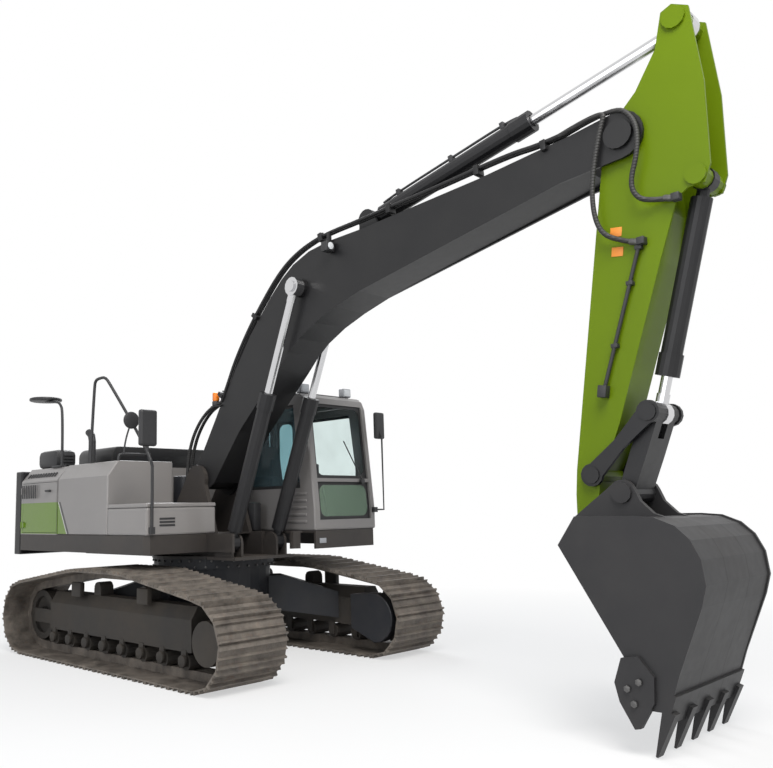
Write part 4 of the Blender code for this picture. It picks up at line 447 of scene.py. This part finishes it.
def drum(name, start, end, radius, finish, body, edge=0.004, sides=24):
    """A round bar or disc added between two places, its rims broken."""
    start, end = Vector(start), Vector(end)
    turn = (end - start).to_track_quat("Z", "Y").to_euler()
    bpy.ops.mesh.primitive_cylinder_add(vertices=sides, radius=radius, depth=(end - start).length,
                                        location=(start + end) / 2, rotation=turn)
    round_edges(edge)
    return finished(bpy.context.object, name, finish, body)


def bent(name, points, radius, finish, body, sides=3, soft=True):
    """A bent tube or hose: a curve through given points with a round section, made a mesh."""
    line = bpy.data.curves.new(name, "CURVE")
    line.dimensions, line.bevel_depth, line.bevel_resolution = "3D", radius, sides
    line.use_fill_caps, line.resolution_u = True, 8
    spline = line.splines.new("NURBS" if soft else "POLY")
    spline.points.add(len(points) - 1)
    for point, place in zip(spline.points, points):
        point.co = (*place, 1)
    spline.order_u, spline.use_endpoint_u = min(3, len(points)), True
    piece = bpy.data.objects.new(name, line)
    bpy.context.scene.collection.objects.link(piece)
    bpy.ops.object.select_all(action="DESELECT")
    piece.select_set(True)
    bpy.context.view_layer.objects.active = piece
    bpy.ops.object.convert(target="MESH")
    piece = bpy.context.object
    bpy.ops.object.mode_set(mode="EDIT")
    bpy.ops.mesh.select_all(action="SELECT")
    bpy.ops.mesh.remove_doubles(threshold=0.0001)
    bpy.ops.mesh.normals_make_consistent(inside=False)
    bpy.ops.object.mode_set(mode="OBJECT")
    bpy.ops.object.shade_smooth_by_angle(angle=radians(40))
    return finished(piece, name, finish, body)


def copied(piece, name, offset, body):
    """A copy of a modelled piece with its own mesh, moved by an offset."""
    twin = bpy.data.objects.new(name, piece.data.copy())
    bpy.context.scene.collection.objects.link(twin)
    twin.data.transform(Matrix.Translation(offset))
    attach(twin, body)
    return twin


# Steel pipes on the boom's back: drawn tube bent to the boom's line, held by clamps,
# from the deck's hoses at the foot to the arm's hoses at the tip.
PIPE_LINE = (
    (0.74, 0.612), (0.92, 0.735), (1.14, 0.902), (1.54, 1.118), (1.94, 1.277), (2.17, 1.348),
    (2.38, 1.377), (2.63, 1.361), (2.91, 1.292), (3.31, 1.129), (3.76, 0.959), (4.22, 0.778),
    (4.90, 0.534), (5.16, 0.400), (5.33, 0.340),
)
for side, y in (("outer", -0.225), ("inner", -0.182)):
    bent("boom_pipe_" + side, [on_boom(x, z, y) for x, z in PIPE_LINE], 0.017, boom_black, "boom")
for number, (x, z, lean) in enumerate(((0.775, 0.690, 30), (1.653, 1.165, 26), (2.85, 1.312, -12),
                                       (3.694, 0.985, -22), (4.617, 0.634, -20), (5.20, 0.375, -17))):
    low = on_boom(x, z, -0.204)
    block("pipe_clamp_%d" % number, low - Vector((0.024, 0.050, 0.060)),
          low + Vector((0.024, 0.046, 0.028)), boom_black, "boom", 0.005,
          (0, -BOOM_TILT - radians(lean), 0))
    drum("pipe_clamp_bolt_%d" % number, low + Vector((0, 0, 0.026)), low + Vector((0, 0, 0.040)), 0.011,
         bolt_steel, "boom", 0.002, 6)

# Work lamp on the boom's side: a cast black housing with a clear lens, on a plate.
lamp_middle, plate_middle = on_boom(2.92, 1.10, -0.29), on_boom(2.90, 1.12, -0.245)
lamp_half = Vector((0.045, 0.055, 0.050))
block("boom_lamp", lamp_middle - lamp_half, lamp_middle + lamp_half, matt_black, "boom", 0.012)
drum("boom_lamp_lens", lamp_middle + Vector((0.040, -0.005, 0)), lamp_middle + Vector((0.054, -0.005, 0)),
     0.036, lamp_lens, "boom")
block("boom_lamp_plate", plate_middle - Vector((0.020, 0.012, 0.05)),
      plate_middle + Vector((0.020, 0.022, 0.15)), boom_black, "boom", 0.004)

# Beacon: an orange moulded lens on a black foot behind the pipes' first clamp.
foot = on_boom(0.62, 0.66, -0.205)
drum("beacon_foot", foot - Vector((0, 0, 0.03)), foot + Vector((0, 0, 0.02)), 0.044, matt_black, "boom",
     0.005)
drum("beacon_lens", foot + Vector((0, 0, 0.018)), foot + Vector((0, 0, 0.125)), 0.040, beacon_orange,
     "boom", 0.018)
block("beacon_shelf", foot + Vector((-0.05, -0.04, -0.045)), foot + Vector((0.14, 0.04, -0.030)),
      boom_black, "boom", 0.004)

# Hydraulic hoses: rubber over wire braid, 38 mm across. Two hang in loops from the boom's pipes
# to the arm, and two go from the pipes down to the deck behind the boom's foot. Each length is
# that of its own route, which follows the photograph on an assumed plane beside the boom.


def centre_line(name, points):
    """The places along a hose's smooth curve, between its given points."""
    line = bpy.data.curves.new(name, "CURVE")
    line.dimensions, line.resolution_u = "3D", 4
    spline = line.splines.new("NURBS")
    spline.points.add(len(points) - 1)
    for point, place in zip(spline.points, points):
        point.co = (*place, 1)
    spline.order_u, spline.use_endpoint_u = 3, True
    guide = bpy.data.objects.new(name, line)
    bpy.context.scene.collection.objects.link(guide)
    route = [tuple(vertex.co) for vertex in guide.to_mesh().vertices]
    bpy.data.objects.remove(guide, do_unlink=True)
    return route


def hose(name, points, diameter=0.038):
    """A hose between two bodies, through given points."""
    piece = bent(name, points, diameter / 2, hose_rubber, None)
    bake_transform(piece)
    centre_line(name, points)


hose("arm_hose_outer", (on_boom(5.33, 0.338, -0.225), on_boom(5.74, 0.240, -0.250), spot(5.300, -0.42, 4.42),
                        spot(5.215, -0.43, 4.05), spot(5.205, -0.43, 3.78), spot(5.250, -0.41, 3.61),
                        spot(5.360, -0.37, 3.54), spot(5.470, -0.360, 3.500)))
hose("arm_hose_inner", (on_boom(5.33, 0.338, -0.182), on_boom(5.78, 0.240, -0.215), spot(5.575, -0.41, 4.40),
                        spot(5.580, -0.43, 4.15), spot(5.500, -0.43, 3.92), spot(5.540, -0.41, 3.80),
                        spot(5.640, -0.38, 3.765), spot(5.740, -0.360, 3.755)))
hose("boom_hose_outer", (on_boom(0.75, 0.612, -0.205), spot(0.50, -0.400, 2.80), spot(0.26, -0.390, 2.66),
                         spot(0.06, -0.370, 2.44), spot(-0.05, -0.350, 2.15), spot(-0.07, -0.330, 1.80),
                         spot(-0.06, -0.320, 1.40)))
hose("boom_hose_inner", (on_boom(0.75, 0.612, -0.160), spot(0.50, -0.350, 2.80), spot(0.26, -0.330, 2.66),
                         spot(0.06, -0.310, 2.44), spot(-0.05, -0.290, 2.15), spot(-0.07, -0.270, 1.80),
                         spot(-0.06, -0.260, 1.40)))
for side, y in (("outer", -0.320), ("inner", -0.260)):
    drum("boom_hose_port_" + side, spot(-0.06, y, 1.383), spot(-0.06, y, 1.44), 0.028, bolt_steel, "upper",
         0.004, 6)

# Pipe down the arm's side to the bucket cylinder, with its clamps and the block valve.
ARM_LEAN = radians(8)
pipe_top, pipe_height, pipe_slope = 0.835, 0.216, 0.168
bent("arm_side_pipe", [on_arm(pipe_top, pipe_height, -0.200), on_arm(1.35, 0.13, -0.200),
                       on_arm(1.88, 0.040, -0.200)], 0.014, matt_black, "arm", soft=False)
valve_middle = on_arm(1.92, 0.034, -0.205)
block("arm_valve", valve_middle - Vector((0.034, 0.035, 0.045)), valve_middle + Vector((0.034, 0.034, 0.045)),
      matt_black, "arm", 0.006, (0, ARM_LEAN, 0))
for number, x in enumerate((0.86, 1.12, 1.58)):
    place = on_arm(x, pipe_height - (x - pipe_top) * pipe_slope, -0.190)
    block("arm_pipe_clamp_%d" % number, place - Vector((0.026, 0.026, 0.016)),
          place + Vector((0.026, 0.020, 0.016)), matt_black, "arm", 0.004)
for number, (x, z) in enumerate(((5.470, 3.500), (5.740, 3.755))):
    drum("arm_port_%d" % number, spot(x - 0.03, -0.362, z + 0.01), spot(x + 0.05, -0.362, z - 0.01), 0.026,
         bolt_steel, "arm", 0.004, 6)
    block("arm_port_foot_%d" % number, spot(x + 0.03, -0.40, z - 0.035), spot(x + 0.09, -0.334, z + 0.02),
          matt_black, "arm", 0.006)

# Two blank orange plates on the arm's side.
for number, z in enumerate((3.617, 3.465)):
    block("arm_plate_%d" % number, spot(5.285, -0.3405, z - 0.035), spot(5.375, -0.3350, z + 0.035),
          label_orange, "arm", 0.002, (0, ARM_LEAN, 0))

# Pipe along the top of the arm cylinder, from the boom to its gland, clamped to the barrel.
bent("arm_cylinder_pipe", [spot(2.955, -0.185, 4.560), spot(3.06, -0.190, 4.596),
                           spot(3.75, -0.190, 4.744), spot(4.40, -0.190, 4.884),
                           spot(4.47, -0.190, 4.880)], 0.012, matt_black, "arm_cylinder")
for number, (x, z) in enumerate(((3.16, 4.617), (3.78, 4.750), (4.33, 4.869))):
    block("arm_cylinder_clamp_%d" % number, spot(x - 0.02, -0.225, z - 0.045),
          spot(x + 0.02, -0.155, z + 0.016), matt_black, "arm_cylinder", 0.004, (0, radians(-12.1), 0))

# Guard rail over the tank: bent tube with a slanting front leg, and a round mirror on its cross bar.
rail = bent("tank_rail", [spot(-0.78, -1.20, 2.195), spot(-0.78, -1.20, 2.30), spot(-0.72, -1.20, 3.08),
                          spot(-0.70, -1.20, 3.17), spot(-0.60, -1.20, 3.185), spot(-0.48, -1.20, 3.18),
                          spot(-0.42, -1.18, 3.11), spot(-0.16, -0.82, 2.32), spot(-0.15, -0.80, 2.20)],
            0.0175, matt_black, "upper")
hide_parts("handrail")
bent("tank_cross_bar", [spot(-0.155, -0.80, 2.275), spot(-0.155, -1.18, 2.275), spot(-0.155, -1.21, 2.25),
                        spot(-0.155, -1.21, 2.19)], 0.0165, matt_black, "upper")
bent("round_mirror_stem", [spot(-0.155, -1.14, 2.275), spot(-0.155, -1.14, 2.42), spot(-0.15, -1.06, 2.62)],
     0.010, matt_black, "upper")
drum("round_mirror", spot(-0.175, -1.05, 2.66), spot(-0.135, -1.05, 2.66), 0.098, matt_black, "upper", 0.014)

# Air intake on the right housing: a moulded cover, with the disc mirror's stem beside it.
block("intake_cover", spot(-2.12, -1.20, 2.190), spot(-1.62, -0.91, 2.42), matt_black, "upper", 0.065)
SLAT_STEP = 0.038
for row in range(4):
    block("intake_slat_%d" % row, spot(-1.63, -1.14, 2.225 + row * SLAT_STEP),
          spot(-1.608, -0.97, 2.243 + row * SLAT_STEP), matt_black, "upper", 0.004)
bent("disc_mirror_stem", [spot(-1.44, -1.215, 2.19), spot(-1.44, -1.215, 2.86), spot(-1.52, -1.215, 2.99),
                          spot(-1.66, -1.215, 3.02), spot(-1.90, -1.215, 3.05)], 0.017, matt_black, "upper")
block("disc_mirror_foot", spot(-1.64, -1.25, 2.191), spot(-1.40, -1.17, 2.215), matt_black, "upper", 0.005)
drum("disc_mirror", spot(-1.90, -1.215, 3.045), spot(-1.90, -1.215, 3.085), 0.20, matt_black, "upper", 0.016)

# Hood: pressed sheet with a broad rolled edge, seen as a dark roll over the housing.
hood_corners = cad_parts["hood"].bound_box
hood_back, hood_front = hood_corners[0][0], hood_corners[6][0]
bpy.ops.mesh.primitive_cube_add(size=1, location=((hood_back + hood_front) / 2, 0.165, 2.327),
                                scale=(hood_front - hood_back, 1.57, 0.27))
bpy.ops.object.transform_apply(location=True, rotation=True, scale=True)
bpy.ops.object.mode_set(mode="EDIT")
bpy.ops.mesh.select_all(action="DESELECT")
bpy.ops.object.mode_set(mode="OBJECT")
hood = bpy.context.object
for line in hood.data.edges:
    ends = [hood.data.vertices[index].co for index in line.vertices]
    line.select = all(end.z > 2.4 for end in ends) and abs(ends[0].x - ends[1].x) > 0.5
bpy.ops.object.mode_set(mode="EDIT")
bpy.ops.mesh.select_mode(type="EDGE")
bpy.ops.mesh.bevel(offset=0.11, segments=6, affect="EDGES")
bpy.ops.object.mode_set(mode="OBJECT")
round_edges(0.015, 2, 60)
finished(hood, "hood_cover", boom_black, "hood")
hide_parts("hood")

# Roof lamps: two silver housings on a flat bar along the cab's brow.
block("roof_lamp_bar", spot(0.99, 0.45, 2.954), spot(1.02, 1.30, 2.975), matt_black, "upper", 0.004)
for side, y in (("right", 0.45), ("left", 1.16)):
    block("roof_lamp_" + side, spot(0.985, y, 2.965), spot(1.07, y + 0.14, 3.075), lamp_silver, "upper", 0.016)
    block("roof_lamp_lens_" + side, spot(1.066, y + 0.015, 2.98), spot(1.076, y + 0.125, 3.06), lamp_lens,
          "upper", 0.004)

# Valve block beside the boom's foot and the swing motor behind it: painted cast iron on the deck.
block("deck_valve", spot(0.25, 0.138, 1.383), spot(0.58, 0.245, 1.71), matt_black, "upper", 0.02)
drum("swing_motor", spot(-0.38, -0.166, 1.383), spot(-0.38, -0.166, 2.05), 0.125, frame_black, "upper",
     0.02, 32)

# End caps over the bottom rollers' axles, in turned steel, and the brackets of the top rollers.
ROLLERS, ROLLER_SPAN = 8, 2.56
for side, y in (("right", -1.356), ("left", 1.356)):
    out = -1 if y < 0 else 1
    cap = drum("roller_cap_%s_0" % side, spot(-ROLLER_SPAN / 2, y - out * 0.01, 0.215),
               spot(-ROLLER_SPAN / 2, y + out * 0.028, 0.215), 0.058, undercarriage_dirt, "undercarriage",
               0.008)
    for number in range(1, ROLLERS):
        copied(cap, "roller_cap_%s_%d" % (side, number),
               Vector((ROLLER_SPAN / (ROLLERS - 1) * number, 0, 0)), "undercarriage")
    for number, x in enumerate((-0.72, 0.62)):
        block("carrier_bracket_%s_%d" % (side, number), spot(x - 0.10, y - 0.04, 0.70),
              spot(x + 0.10, y + 0.02, 0.86), undercarriage_dirt, "undercarriage", 0.012)

# Bolts around the swing ring: hexagon heads in two rows.
RING_RADIUS, RING_BOLTS = 0.702, 36
inner, outer = RING_RADIUS - 0.01, RING_RADIUS + 0.014
for row, z in enumerate((1.075, 1.010)):
    for number in range(RING_BOLTS):
        turn = tau * (number + row / 2) / RING_BOLTS
        drum("ring_bolt_%d_%d" % (row, number), spot(cos(turn) * inner, sin(turn) * inner, z),
             spot(cos(turn) * outer, sin(turn) * outer, z), 0.013, bolt_steel, "undercarriage", 0.002, 6)

# Latch on the right door, and black strips in the toolbox's front: painted shade in its vent openings.
block("door_latch", spot(-1.52, -1.395, 1.890), spot(-1.42, -1.360, 1.915), matt_black, "right_door", 0.006)
VENT_STEP = 0.034
for row in range(3):
    block("toolbox_vent_%d" % row, spot(0.636, -1.20, 1.475 + row * VENT_STEP),
          spot(0.648, -1.01, 1.495 + row * VENT_STEP), matt_black, "upper", 0.003)

# Inside the cab: the monitor on its post and the travel levers with their pedals.
block("cab_monitor", spot(1.03, 0.52, 1.98), spot(1.07, 0.72, 2.14), matt_black, "upper", 0.012)
drum("cab_monitor_post", spot(1.06, 0.60, 1.43), spot(1.06, 0.60, 2.00), 0.018, matt_black, "upper")
for side, y in (("right", 0.78), ("left", 0.92)):
    bent("travel_lever_" + side, [spot(0.98, y, 1.43), spot(0.98, y, 1.75), spot(0.86, y, 2.02)], 0.014,
         matt_black, "upper")
    block("pedal_" + side, spot(0.92, y - 0.05, 1.48), spot(1.12, y + 0.05, 1.50), matt_black, "upper", 0.005)

# Wiper on the upper windscreen: a bent arm on its motor at the left corner.
drum("wiper_motor", spot(1.312, 1.16, 1.935), spot(1.360, 1.16, 1.935), 0.032, matt_black, "upper")
bent("wiper_arm", [spot(1.352, 1.16, 1.935), spot(1.325, 1.02, 2.18), spot(1.300, 0.90, 2.40)], 0.007,
     matt_black, "upper", 1)

# Louvres over the right door and slots on it: black strips in the places of the pressed openings, painted shade
# for the dark inside them.
LOUVRE_STEP, SLOT_STEP = 0.068, 0.049
for number in range(11):
    block("louvre_%d" % number, spot(-2.100 + number * LOUVRE_STEP, -1.318, 2.070),
          spot(-2.072 + number * LOUVRE_STEP, -1.300, 2.130), matt_black, "upper", 0.004,
          (radians(-38), 0, 0))
for number in range(8):
    block("door_slot_%d" % number, spot(-2.13 + number * SLOT_STEP, -1.390, 1.82),
          spot(-2.11 + number * SLOT_STEP, -1.382, 1.985), matt_black, "right_door", 0.003)

# Ribs on the cab's side under the right window, and the blank plate on the skirt below it.
RIB_STEP = 0.078
for number in range(5):
    block("cab_rib_%d" % number, spot(0.86, 0.352, 1.47 + number * RIB_STEP),
          spot(1.22, 0.364, 1.50 + number * RIB_STEP), cab_grey, "upper", 0.005)
block("skirt_plate", spot(1.352, 0.42, 1.245), spot(1.362, 0.52, 1.300), lamp_silver, "upper", 0.002)

# Bolts through the side cutter: hexagon heads on the near plate.
for number, (x, z) in enumerate(((5.40, 0.42), (5.48, 0.47), (5.44, 0.33))):
    drum("cutter_bolt_%d" % number, spot(x, -0.800, z), spot(x, -0.815, z), 0.024, bolt_steel, "bucket", 0.003, 6)
